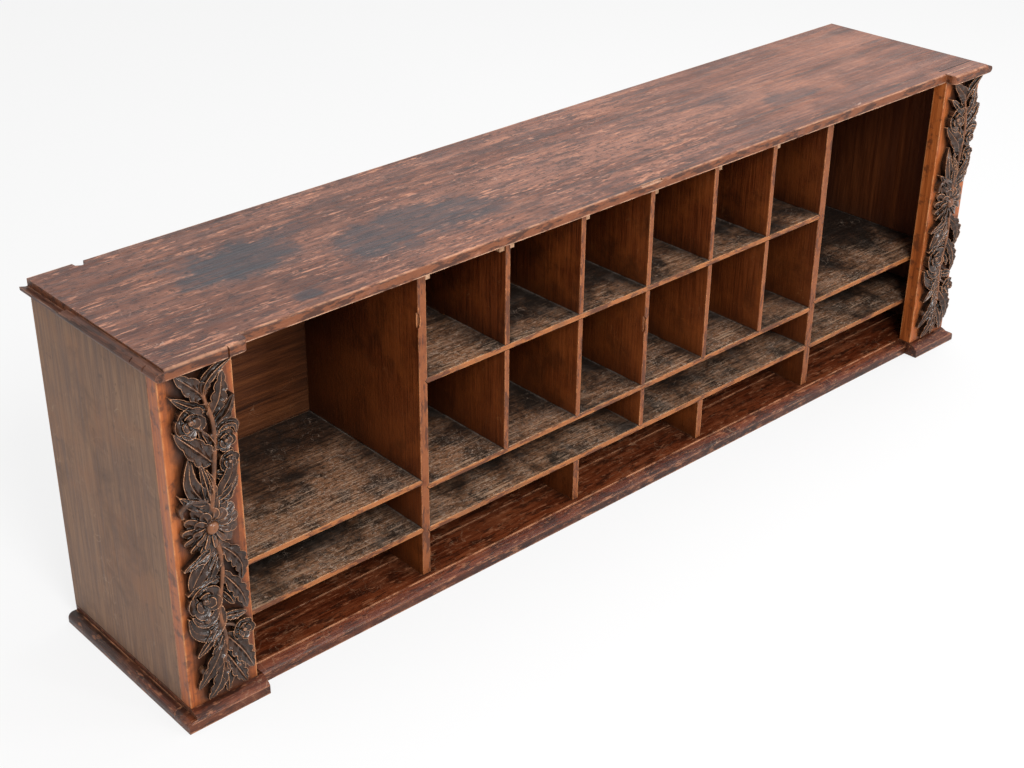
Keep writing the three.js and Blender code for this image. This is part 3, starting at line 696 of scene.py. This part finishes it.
# %% Materials and soft arrises
FINISH_OF_SLOT = {
    "top_wood": TOP_WOOD,
    "base_wood": BASE_WOOD,
    "panel_wood": PANEL_WOOD,
    "pilaster_wood": PILASTER_WOOD,
    "carved_wood": CARVED_WOOD,
    "divider_wood": DIVIDER_WOOD,
    "shelf_wood": SHELF_WOOD,
    "back_wood": BACK_WOOD,
    "cleat_wood": CLEAT_WOOD,
}
FINISH_OF_NODE = {
    "top_left_end_moulding": TOP_END_WOOD,
    "top_right_end_moulding": TOP_END_WOOD,
    "base_left_end_moulding": BASE_END_WOOD,
    "base_right_end_moulding": BASE_END_WOOD,
}
ARRIS_OF_SLOT = {"top_wood": 0.0014, "base_wood": 0.0012, "shelf_wood": 0.0016, "cleat_wood": 0.0005}
ARRIS = 0.0011
WELD = 1e-5
slot_of_node = {row["node"]: row["material_slot"] for row in frame["record"]["subparts"]}


def soften(board, width):
    weld = board.modifiers.new("weld", "WELD")
    weld.merge_threshold = WELD
    bevel = board.modifiers.new("arris", "BEVEL")
    bevel.width = width
    bevel.segments = 2
    bevel.limit_method = "ANGLE"
    bevel.angle_limit = math.radians(40)
    bevel.use_clamp_overlap = True
    bevel.harden_normals = False


for name, board in nodes.items():
    slot = slot_of_node[name]
    board.data.materials.clear()
    board.data.materials.append(FINISH_OF_NODE.get(name, FINISH_OF_SLOT[slot]))
    if slot != "carved_wood":
        soften(board, ARRIS_OF_SLOT.get(slot, ARRIS))
print("dressed", len(nodes), "boards")

# %% [markdown]
# ## Damage
# A few boards have lost splinters. Each of those is copied with its soft arrises, a jagged prism is
# cut out of the copy with a Boolean modifier, and the copy stands in for the board. The prism is
# only a tool, so it is removed as soon as the cut is made.

# %% Chips and splinters
PLANES = {"X": (1, 2), "Y": (0, 2), "Z": (0, 1)}
DAMAGE = {
    "top_board": [
        ("Z", 0.55, 0.58, [(-0.807, 0.18), (-0.8055, 0.168), (-0.799, 0.164), (-0.7905, 0.163), (-0.7885, 0.18)]),
        ("X", -0.012, 0.034, [(-0.159, 0.5635), (-0.154, 0.5655), (-0.1525, 0.57), (-0.159, 0.57)]),
    ],
    "top_left_end_moulding": [
        ("Y", 0.066, 0.18, [(-0.90, 0.5580), (-0.888, 0.5590), (-0.8795, 0.5568), (-0.87, 0.5575), (-0.87, 0.58), (-0.90, 0.58)]),
        ("Y", 0.072, 0.18, [(-0.90, 0.53), (-0.8892, 0.53), (-0.8884, 0.552), (-0.8896, 0.57), (-0.90, 0.57)]),
        ("Y", 0.034, 0.0665, [(-0.90, 0.5628), (-0.886, 0.5608), (-0.87, 0.5622), (-0.87, 0.58), (-0.90, 0.58)]),
        ("Y", -0.117, -0.1145, [(-0.895, 0.558), (-0.888, 0.5602), (-0.88, 0.57), (-0.895, 0.57)]),
        ("Y", -0.147, -0.1445, [(-0.895, 0.556), (-0.887, 0.559), (-0.88, 0.57), (-0.895, 0.57)]),
    ],
    "top_left_return": [
        ("Z", 0.55, 0.58, [(-0.7845, -0.18), (-0.7820, -0.1728), (-0.7790, -0.18)]),
    ],
    "left_partition": [
        ("Y", -0.14, -0.1235, [(-0.44, 0.452), (-0.4315, 0.457), (-0.4300, 0.470), (-0.4318, 0.479), (-0.44, 0.484)]),
    ],
    "divider_3": [
        ("Y", -0.14, -0.1235, [(0.04, 0.284), (0.0468, 0.290), (0.0455, 0.303), (0.0472, 0.312), (0.04, 0.319)]),
    ],
}


def jagged_prism(axis, low, high, outline):
    first, second = PLANES[axis]
    along = "XYZ".index(axis)
    points = []
    for end in (low, high):
        for a, b in outline:
            point = [0.0, 0.0, 0.0]
            point[first], point[second], point[along] = a, b, end
            points.append(point)
    count = len(outline)
    faces = [tuple(range(count)), tuple(range(2 * count - 1, count - 1, -1))]
    for index in range(count):
        after = (index + 1) % count
        faces.append((after, index, count + index, count + after))
    mesh = bpy.data.meshes.new("splinter")
    mesh.from_pydata(points, [], faces)
    shape = bmesh.new()
    shape.from_mesh(mesh)
    bmesh.ops.recalc_face_normals(shape, faces=shape.faces)
    shape.to_mesh(mesh)
    shape.free()
    splinter = bpy.data.objects.new("splinter", mesh)
    scene.collection.objects.link(splinter)
    return splinter


def worn_copy(name, cuts):
    board = nodes[name]
    whole = board.evaluated_get(bpy.context.evaluated_depsgraph_get())
    mesh = bpy.data.meshes.new_from_object(whole)
    mesh.transform(board.matrix_world)
    worn = bpy.data.objects.new("worn_" + name, mesh)
    scene.collection.objects.link(worn)
    splinters = [jagged_prism(*cut) for cut in cuts]
    for splinter in splinters:
        chip = worn.modifiers.new("chip", "BOOLEAN")
        chip.operation = "DIFFERENCE"
        chip.solver = "EXACT"
        chip.object = splinter
    settled = worn.evaluated_get(bpy.context.evaluated_depsgraph_get())
    cut_mesh = bpy.data.meshes.new_from_object(settled)
    worn.modifiers.clear()
    worn.data = cut_mesh
    for splinter in splinters:
        bpy.data.objects.remove(splinter)
    cut_mesh.materials.clear()
    cut_mesh.materials.append(board.data.materials[0])
    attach(worn, "root")
    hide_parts(name)
    print(worn.name, "faces:", len(mesh.polygons), "to", len(cut_mesh.polygons))


for name, cuts in DAMAGE.items():
    worn_copy(name, cuts)

# %% [markdown]
# ## Carving the drops
# Each pilaster carries a drop of carved foliage: a stem with leaves, buds, a rose and one large
# daisy. A carver cuts it from one board, and the leaves lean out over their own narrower feet.
# Sculpting by hand can't be repeated by a script, so each leaf is a small grid bent along a spine:
# its top is the carved surface, its foot stands on the pilaster, and a rim closes the two.
# Lengths here are millimetres on the drawing of one drop: across, up from the foot, and out.

# %% Shells of the carving
MM = 0.001
DRAWN_HALF = 56.0
DRAWN_HEIGHT = 526.0
ROWS = 44
COLUMNS = 15
SUNK = -0.4
RELIEF = 16.6


class Carving:
    """Collects closed shells."""

    def __init__(self):
        self.points, self.faces = [], []

    def shell(self, top, foot):
        rows, columns = top.shape[:2]
        start = sum(len(part) for part in self.points)
        count = rows * columns
        self.points += [top.reshape(-1, 3), foot.reshape(-1, 3)]
        at = np.arange(count).reshape(rows, columns) + start
        corners = (at[:-1, :-1], at[1:, :-1], at[1:, 1:], at[:-1, 1:])
        quads = np.stack(corners, axis=-1).reshape(-1, 4)
        self.faces += quads.tolist()
        self.faces += (quads + count)[:, ::-1].tolist()
        rim = np.concatenate([at[0], at[1:, -1], at[-1, -2::-1], at[-2:0:-1, 0]])
        for here, beyond in zip(rim.tolist(), np.roll(rim, -1).tolist()):
            self.faces.append([here, beyond, beyond + count, here + count])


def curve(points, count):
    """A smooth line through the points."""
    points = np.array(points, float)
    ends = (2 * points[0] - points[1], 2 * points[-1] - points[-2])
    padded = np.vstack([ends[0], points, ends[1]])
    along = np.linspace(0, len(points) - 1, count)
    index = np.clip(along.astype(int), 0, len(points) - 2)
    share = (along - index)[:, None]
    a, b, c, d = (padded[index + step] for step in range(4))
    bend = (2 * a - 5 * b + 4 * c - d) * share**2 + (3 * b - a - 3 * c + d) * share**3
    return 0.5 * (2 * b + (c - a) * share + bend)


print("grid of a leaf:", ROWS, "x", COLUMNS)

# %% [markdown]
# A leaf's outline swells and narrows along its spine; teeth nick it, a rib stands along the middle,
# and the halves are scooped out so that the rims catch the light. A stem has the same spine with a
# round section, and a berry is a grid squeezed into a disc and raised to a dome.

# %% Leaves, stems and berries
def spine_frame(path, lean):
    spine = curve(path, ROWS)
    along = np.gradient(spine, axis=0)
    along /= np.linalg.norm(along, axis=1, keepdims=True)
    up = np.array([0.0, 0.0, 1.0])
    out = up - along * (along @ up)[:, None]
    out /= np.linalg.norm(out, axis=1, keepdims=True)
    side = np.cross(along, out)
    tilt = np.linspace(lean[0], lean[1], ROWS)[:, None]
    return spine, side * np.cos(tilt) + out * np.sin(tilt), out * np.cos(tilt) - side * np.sin(tilt)


def stand(carving, spine, side, out, spread, lift, foot):
    """Closes a carved surface over its foot, and keeps it between the ground and the relief."""
    top = spine[:, None] + side[:, None] * spread[..., None] + out[:, None] * lift[..., None]
    ground = spine[:, None] + side[:, None] * (foot * spread)[..., None]
    top[..., 2] = np.clip(top[..., 2], 0.8, RELIEF)
    ground[..., 2] = SUNK
    carving.shell(top, ground)


def leaf(
    carving, path, width, scoop=2.4, rib=2.6, dome=0.0, teeth=0, bite=0.3, lean=(0.0, 0.0), swell=0.8, tip=0.7, foot=0.6
):
    spine, side, out = spine_frame(path, lean)
    share = np.linspace(0, 1, ROWS)
    half = width * (1.1 * np.maximum(np.sin(np.pi * share**swell), 0.0) ** tip + 0.07)
    if teeth:
        half = half * (1 - bite * (1 - np.abs(np.sin(np.pi * share * teeth)) ** 0.6))
    across = np.linspace(-1, 1, COLUMNS)
    edge = np.abs(across)
    full = np.sin(np.pi * np.clip(0.12 + 0.86 * share, 0, 1))[:, None]
    middle = rib * np.exp(-((across / 0.17) ** 2))
    halves = scoop * (1.2 * edge**3 - 4 * edge * (1 - edge))
    veins = 0.8 * np.cos(2 * np.pi * (max(teeth, 4) * share[:, None] - 1.4 * edge)) * edge * (1 - edge) * 3
    veins = veins * min(rib, 1.0)
    round_back = dome * np.sqrt(np.maximum(1 - across**2, 0.0))
    stand(carving, spine, side, out, half[:, None] * across, full * (middle + halves + veins + round_back), foot)


def stem(carving, path, thick, thin):
    spine, side, out = spine_frame(path, (0.0, 0.0))
    half = np.linspace(thick, thin, ROWS)[:, None]
    across = np.linspace(-1, 1, COLUMNS)
    stand(carving, spine, side, out, half * across, half * np.sqrt(np.maximum(1 - across**2, 0.0)), 1.0)


def berry(carving, u, v, base, radius, height, dimple=0.0):
    grid = np.linspace(-1, 1, COLUMNS)
    a, b = np.meshgrid(grid, grid, indexing="ij")
    flat_u, flat_v = a * np.sqrt(1 - b**2 / 2), b * np.sqrt(1 - a**2 / 2)
    out = np.sqrt(np.maximum(1 - flat_u**2 - flat_v**2, 0.0))
    pit = dimple * np.exp(-(flat_u**2 + flat_v**2) / 0.08)
    top = np.stack([u + radius * flat_u, v + radius * flat_v, base + height * out - pit], axis=-1)
    ground = np.stack([u + 0.85 * radius * flat_u, v + 0.85 * radius * flat_v, 0 * a + SUNK], axis=-1)
    carving.shell(top, ground)


def petals(carving, centre, count, inner, outer, heights, width, dome=2.2, turn=0.0, twist=0.45):
    """A ring of spoon-shaped petals round a centre, each with one edge over its neighbour."""
    u, v = centre
    for index in range(count):
        angle = turn + 2 * math.pi * index / count
        reach = [(inner, heights[0]), ((inner + outer) / 2, heights[1]), (outer, heights[2])]
        path = [(u + r * math.cos(angle), v + r * math.sin(angle), h) for r, h in reach]
        lean = (twist, twist)
        leaf(carving, path, width, scoop=1.5, rib=0.0, dome=dome, lean=lean, foot=0.8, swell=1.5, tip=0.45)


def rose(carving, u, v, radius, turn):
    """Cupped petals that wrap round a bud in two rings, the inner one standing higher."""
    for count, reach, height, width in ((5, 0.64, 6, 0.44), (3, 0.31, 9, 0.34)):
        for index in range(count):
            start = turn + height + 2 * math.pi * index / count
            path = []
            for step, rise_by in enumerate((0, 2, 2, 0)):
                angle = start + 0.5 * step
                path.append((u + reach * radius * math.cos(angle), v + reach * radius * math.sin(angle), height + rise_by))
            leaf(carving, path, width * radius, scoop=1.8, rib=0.0, dome=1.0, lean=(0.1, 0.6), foot=0.8, swell=1.2, tip=0.6)
    berry(carving, u, v, 9, 0.22 * radius, 6.5, dimple=1.2)


print("makers: leaf, stem, berry, petals, rose")

# %% [markdown]
# ## The drop's layout
# The list below follows the drop from the top: two leaves at the head, a bud, curled leaves, the
# daisy, the rose and the cup flower, and the spray of leaves at the foot. Each leaf starts inside
# the stem, so that the whole drop holds together as the carver's board does.

# %% Layout of a drop
UPPER_STEM = [(4, 492, 4), (7, 474, 6), (14, 446, 7), (16, 424, 7), (14, 394, 7), (9, 356, 7), (2, 312, 7)]
LOWER_STEM = [(4, 262, 6), (9, 236, 7), (9, 206, 7), (4, 178, 7), (-1, 150, 7), (2, 122, 7), (6, 100, 7)]
LOWER_STEM += [(4, 76, 6), (0, 50, 5)]
DAISY_AT = (-1, 284)
DAISY_BOSS = 10.5


def upper_spray(carving):
    stem(carving, UPPER_STEM, 3.2, 4.4)
    leaf(carving, [(6, 478, 6), (-10, 497, 12), (-34, 521, 7)], 13, teeth=4, bite=0.25)
    leaf(carving, [(5, 478, 7), (7, 500, 13), (24, 515, 15), (50, 522, 10)], 8, lean=(0.2, 0.6), scoop=3)
    leaf(carving, [(13, 444, 6), (25, 474, 12), (37, 507, 7)], 12, teeth=5, bite=0.38)
    leaf(carving, [(14, 430, 5), (34, 446, 12), (48, 470, 13)], 9, lean=(0.0, 0.7), scoop=3.2)
    leaf(carving, [(12, 456, 5), (-14, 471, 10), (-44, 494, 11)], 8, scoop=3, teeth=3, bite=0.25)
    stem(carving, [(15, 416, 6), (4, 424, 8), (-8, 440, 9)], 2.8, 2.4)
    rose(carving, -19, 451, 22, 0.3)
    leaf(carving, [(11, 378, 6), (-12, 406, 13), (-42, 440, 7)], 15, teeth=4, bite=0.25, scoop=3.4, rib=3)
    leaf(carving, [(13, 386, 5), (3, 412, 10), (-6, 436, 8)], 8)


def curled_leaves(carving):
    leaf(carving, [(15, 412, 6), (28, 430, 12), (46, 426, 12), (50, 408, 8)], 6.5, lean=(0.3, 0.3), scoop=2.6)
    rose(carving, 30, 407, 16, 0.4)
    rose(carving, 34, 374, 15, 2.2)
    leaf(carving, [(10, 362, 6), (30, 356, 10), (50, 366, 9)], 7, lean=(0.0, -0.3), scoop=2.6)
    leaf(carving, [(2, 314, 6), (-16, 338, 9), (-29, 366, 12), (-24, 398, 7)], 11, scoop=2.6, rib=2.0, dome=1.5)
    leaf(carving, [(0, 318, 5), (-22, 328, 11), (-45, 348, 11)], 8, lean=(0.0, 0.5), scoop=3)
    stem(carving, [(-4, 326, 7), (-30, 336, 11), (-44, 328, 10), (-42, 314, 7)], 4.0, 2.6)
    leaf(carving, [(3, 314, 6), (-5, 348, 12), (-10, 386, 9)], 6.5, rib=3)
    leaf(carving, [(6, 314, 6), (5, 344, 11), (0, 372, 8)], 5, rib=3)
    leaf(carving, [(9, 316, 6), (22, 338, 9), (34, 360, 12), (43, 388, 6)], 10, scoop=2.6, rib=2.0, dome=1.5)
    leaf(carving, [(6, 316, 5), (26, 326, 11), (47, 346, 9)], 8, teeth=3, scoop=3)


def daisy(carving):
    petals(carving, DAISY_AT, 15, 13, 44, (3, 7, 6), 7.2, dome=2.4, turn=0.1, twist=0.35)
    petals(carving, DAISY_AT, 11, 9, 31, (7, 12, 12), 7.0, dome=2.2, turn=0.3, twist=0.35)
    berry(carving, *DAISY_AT, 8.6, DAISY_BOSS, 8.0, dimple=2.2)


def lower_spray(carving):
    stem(carving, LOWER_STEM, 4.4, 3.2)
    leaf(carving, [(7, 254, 6), (-14, 238, 9), (-33, 218, 12), (-40, 194, 6)], 12, lean=(0.0, -0.4), scoop=2.6, rib=2.0, dome=1.5)
    leaf(carving, [(5, 250, 5), (-20, 244, 11), (-49, 232, 9)], 8, scoop=3, teeth=3)
    leaf(carving, [(9, 238, 6), (-6, 222, 12), (-15, 200, 10)], 8.5, scoop=3)
    leaf(carving, [(8, 252, 6), (26, 232, 13), (38, 208, 12), (40, 180, 7)], 12, teeth=5, bite=0.4)
    leaf(carving, [(7, 198, 6), (-18, 202, 11), (-47, 192, 9)], 8, lean=(0.0, 0.5), scoop=3)
    rose(carving, -23, 174, 25, 0.2)
    leaf(carving, [(7, 208, 6), (24, 182, 13), (36, 158, 12), (45, 130, 7)], 11, teeth=5, bite=0.38)
    leaf(carving, [(4, 182, 6), (15, 166, 11), (23, 148, 9)], 7, scoop=3)


def cup_flower(carving):
    crescent = [(-47, 152, 5), (-41, 130, 8), (-20, 118, 10), (0, 129, 8), (7, 150, 5)]
    leaf(carving, crescent, 9.5, scoop=2.4, rib=0.0, dome=1.0, lean=(0.3, 0.3), swell=1.0)
    inner = [(-43, 154, 8), (-32, 143, 11), (-14, 142, 12), (0, 157, 8)]
    leaf(carving, inner, 6.5, scoop=1.8, rib=0.0, dome=1.0, lean=(0.3, 0.3), swell=1.0)
    berry(carving, -23, 144, 10, 6, 7)
    stem(carving, [(5, 114, 6), (-8, 116, 8), (-20, 122, 9)], 3.0, 2.6)
    stem(carving, [(3, 122, 6), (16, 116, 7), (28, 106, 8)], 2.8, 2.4)
    rose(carving, 34, 101, 17, 0.5)
    leaf(carving, [(3, 128, 6), (-22, 108, 12), (-41, 86, 9)], 7.5, scoop=3.6)
    leaf(carving, [(5, 110, 5), (-8, 94, 10), (-19, 74, 8)], 8, teeth=3)
    leaf(carving, [(5, 134, 6), (22, 132, 11), (43, 126, 8)], 7, scoop=3)


def foot_spray(carving):
    leaf(carving, [(6, 100, 6), (-18, 70, 13), (-43, 30, 6)], 12, teeth=5, bite=0.32)
    leaf(carving, [(4, 74, 6), (-12, 38, 13), (-28, 5, 6)], 12, teeth=5, bite=0.36)
    leaf(carving, [(6, 104, 6), (27, 70, 14), (48, 26, 7)], 14, teeth=6, bite=0.36, scoop=3)
    leaf(carving, [(3, 76, 6), (19, 40, 12), (36, 6, 6)], 11, teeth=5, bite=0.36)
    leaf(carving, [(1, 62, 5), (2, 34, 11), (4, 4, 6)], 8, teeth=4, bite=0.3)
    berry(carving, 21, 46, 7, 6, 7)
    berry(carving, -33, 60, 5, 6, 8)


carving = Carving()
for part in (upper_spray, curled_leaves, daisy, lower_spray, cup_flower, foot_spray):
    part(carving)
print("shells:", len(carving.points) // 2, "faces:", len(carving.faces))

# %% [markdown]
# ## One surface
# The shells overlap freely. A voxel Remesh melts them into one skin, which rounds the inner corners
# as a gouge would, Smooth takes off the voxel steps, and Decimate spends faces where it curves.
# That leaves some crumbs of a few faces, so only the largest connected island is kept.
# The same drop, a little narrower, sits on the right pilaster.

# %% Drops on the pilasters
VOXEL = 0.0008
KEPT_FACES = 0.35
RUB_REACH = 5.5


def to_pilaster(points, pilaster):
    low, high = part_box(pilaster)
    placed = np.empty_like(points)
    placed[:, 0] = (low.x + high.x) / 2 + points[:, 0] / DRAWN_HALF * (high.x - low.x) / 2
    placed[:, 1] = low.y - points[:, 2] * MM
    placed[:, 2] = low.z + points[:, 1] / DRAWN_HEIGHT * (high.z - low.z)
    return placed


def stem_rub(mesh, pilaster):
    """Stores how far hands have rubbed each point: most on the stem and on the daisy's boss."""
    places = np.empty(len(mesh.vertices) * 3)
    mesh.vertices.foreach_get("co", places)
    flat = places.reshape(-1, 3)[:, [0, 2]]
    rub = np.zeros(len(flat))
    for path in (UPPER_STEM, LOWER_STEM):
        line = to_pilaster(curve(path, 90), pilaster)[:, [0, 2]]
        gap = np.min(np.linalg.norm(flat[:, None] - line[None], axis=2), axis=1)
        rub = np.maximum(rub, 1 - gap / (RUB_REACH * MM))
    boss = to_pilaster(np.array([(*DAISY_AT, 0.0)]), pilaster)[:, [0, 2]]
    gap = np.linalg.norm(flat - boss, axis=1)
    rub = np.maximum(rub, (DAISY_BOSS + 1 - gap / MM) / 3)
    mesh.attributes.new(RUBBED, "FLOAT", "POINT").data.foreach_set("value", np.clip(rub * 2, 0, 1))


def drop_crumbs(mesh):
    shape = bmesh.new()
    shape.from_mesh(mesh)
    island_of, sizes = {}, []
    for start in shape.verts:
        if start in island_of:
            continue
        island_of[start] = len(sizes)
        waiting, size = [start], 0
        while waiting:
            vertex = waiting.pop()
            size += 1
            for edge in vertex.link_edges:
                other = edge.other_vert(vertex)
                if other not in island_of:
                    island_of[other] = len(sizes)
                    waiting.append(other)
        sizes.append(size)
    largest = sizes.index(max(sizes))
    crumbs = [vertex for vertex, island in island_of.items() if island != largest]
    bmesh.ops.delete(shape, geom=crumbs, context="VERTS")
    shape.to_mesh(mesh)
    shape.free()
    print("crumbs removed:", len(sizes) - 1)


def carved_drop(name, pilaster, stands_for):
    rough = bpy.data.meshes.new(name + "_shells")
    placed = to_pilaster(np.concatenate(carving.points), pilaster)
    rough.from_pydata(placed.tolist(), [], carving.faces)
    drop = bpy.data.objects.new(name, rough)
    scene.collection.objects.link(drop)
    melt = drop.modifiers.new("melt", "REMESH")
    melt.mode = "VOXEL"
    melt.voxel_size = VOXEL
    ease = drop.modifiers.new("ease", "SMOOTH")
    ease.factor = 0.5
    ease.iterations = 2
    thin = drop.modifiers.new("thin", "DECIMATE")
    thin.ratio = KEPT_FACES
    settled = drop.evaluated_get(bpy.context.evaluated_depsgraph_get())
    mesh = bpy.data.meshes.new_from_object(settled)
    drop.modifiers.clear()
    drop.data = mesh
    drop_crumbs(mesh)
    mesh.shade_smooth()
    stem_rub(mesh, pilaster)
    mesh.materials.append(CARVED_WOOD)
    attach(drop, "root")
    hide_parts(stands_for)
    print(name, "faces:", len(mesh.polygons), "out to", round(min(v.co.y for v in mesh.vertices), 4))


carved_drop("left_foliage_drop", "left_pilaster", "left_carved_drop")
carved_drop("right_foliage_drop", "right_pilaster", "right_carved_drop")

# %% [markdown]
# ## Light and floor
# Plain studio light: a pale world, one large soft lamp from the front left, above, and a weak one
# from the right. The floor and the world look near white to the camera, and to reflections, while
# the floor still takes the cabinet's shadow.

# %% Light and floor
PALE = 1.0
WORLD_FILL = 0.6
FLOOR_SIZE = 30.0
FLOOR_GREY = 0.85
SHADOW_SHARE = 0.25


def pale_world():
    world = bpy.data.worlds.new("pale_world")
    world.use_nodes = True
    tree = world.node_tree
    background = tree.nodes["Background"]
    background.inputs["Color"].default_value = (1, 1, 1, 1)
    path = node(tree, "LightPath").outputs
    seen = sums(tree, "MAXIMUM", path["Is Camera Ray"], path["Is Glossy Ray"])
    seen = sums(tree, "MAXIMUM", seen, path["Is Transmission Ray"])
    level = node(tree, "MapRange", {"Value": seen, "To Min": WORLD_FILL, "To Max": PALE})
    feed(tree, background.inputs["Strength"], level.outputs["Result"])
    scene.world = world


def lamp(name, at, aim, size, watts):
    data = bpy.data.lights.new(name, "AREA")
    data.shape = "DISK"
    data.size = size
    data.energy = watts
    made = bpy.data.objects.new(name, data)
    scene.collection.objects.link(made)
    made.location = at
    made.rotation_mode = "QUATERNION"
    made.rotation_quaternion = (Vector(aim) - Vector(at)).to_track_quat("-Z", "Y")


def pale_floor():
    mesh = bpy.data.meshes.new("floor")
    half = FLOOR_SIZE / 2
    corners = [(-half, -half, 0), (half, -half, 0), (half, half, 0), (-half, half, 0)]
    mesh.from_pydata(corners, [], [(0, 1, 2, 3)])
    floor = bpy.data.objects.new("floor", mesh)
    floor.location.z = -0.0004
    scene.collection.objects.link(floor)
    material = bpy.data.materials.new("pale_floor")
    material.use_nodes = True
    tree = material.node_tree
    tree.nodes.clear()
    matt = node(tree, "BsdfDiffuse", {"Color": (FLOOR_GREY, FLOOR_GREY, FLOOR_GREY, 1)})
    glow = node(tree, "Emission", {"Color": (PALE, PALE, PALE, 1), "Strength": 1.0})
    path = node(tree, "LightPath").outputs
    seen = sums(tree, "MAXIMUM", path["Is Camera Ray"], path["Is Glossy Ray"])
    share = sums(tree, "MULTIPLY", seen, 1 - SHADOW_SHARE)
    blend = node(tree, "MixShader", {"Fac": share})
    feed(tree, blend.inputs[1], matt.outputs[0])
    feed(tree, blend.inputs[2], glow.outputs[0])
    node(tree, "OutputMaterial", {"Surface": blend.outputs[0]})
    mesh.materials.append(material)


pale_world()
pale_floor()
lamp("key", (-1.4, -3.2, 3.2), (0, 0, 0.3), 1.5, 115)
lamp("fill", (2.4, -2.6, 2.0), (0, 0, 0.3), 1.8, 26)
lamp("sky", (1.5, 0.2, 2.8), (0.6, 0, 0.5), 1.8, 22)
lamp("glint", (0.5, -3.0, 1.0), (-0.3, 0, 0.3), 0.6, 24)
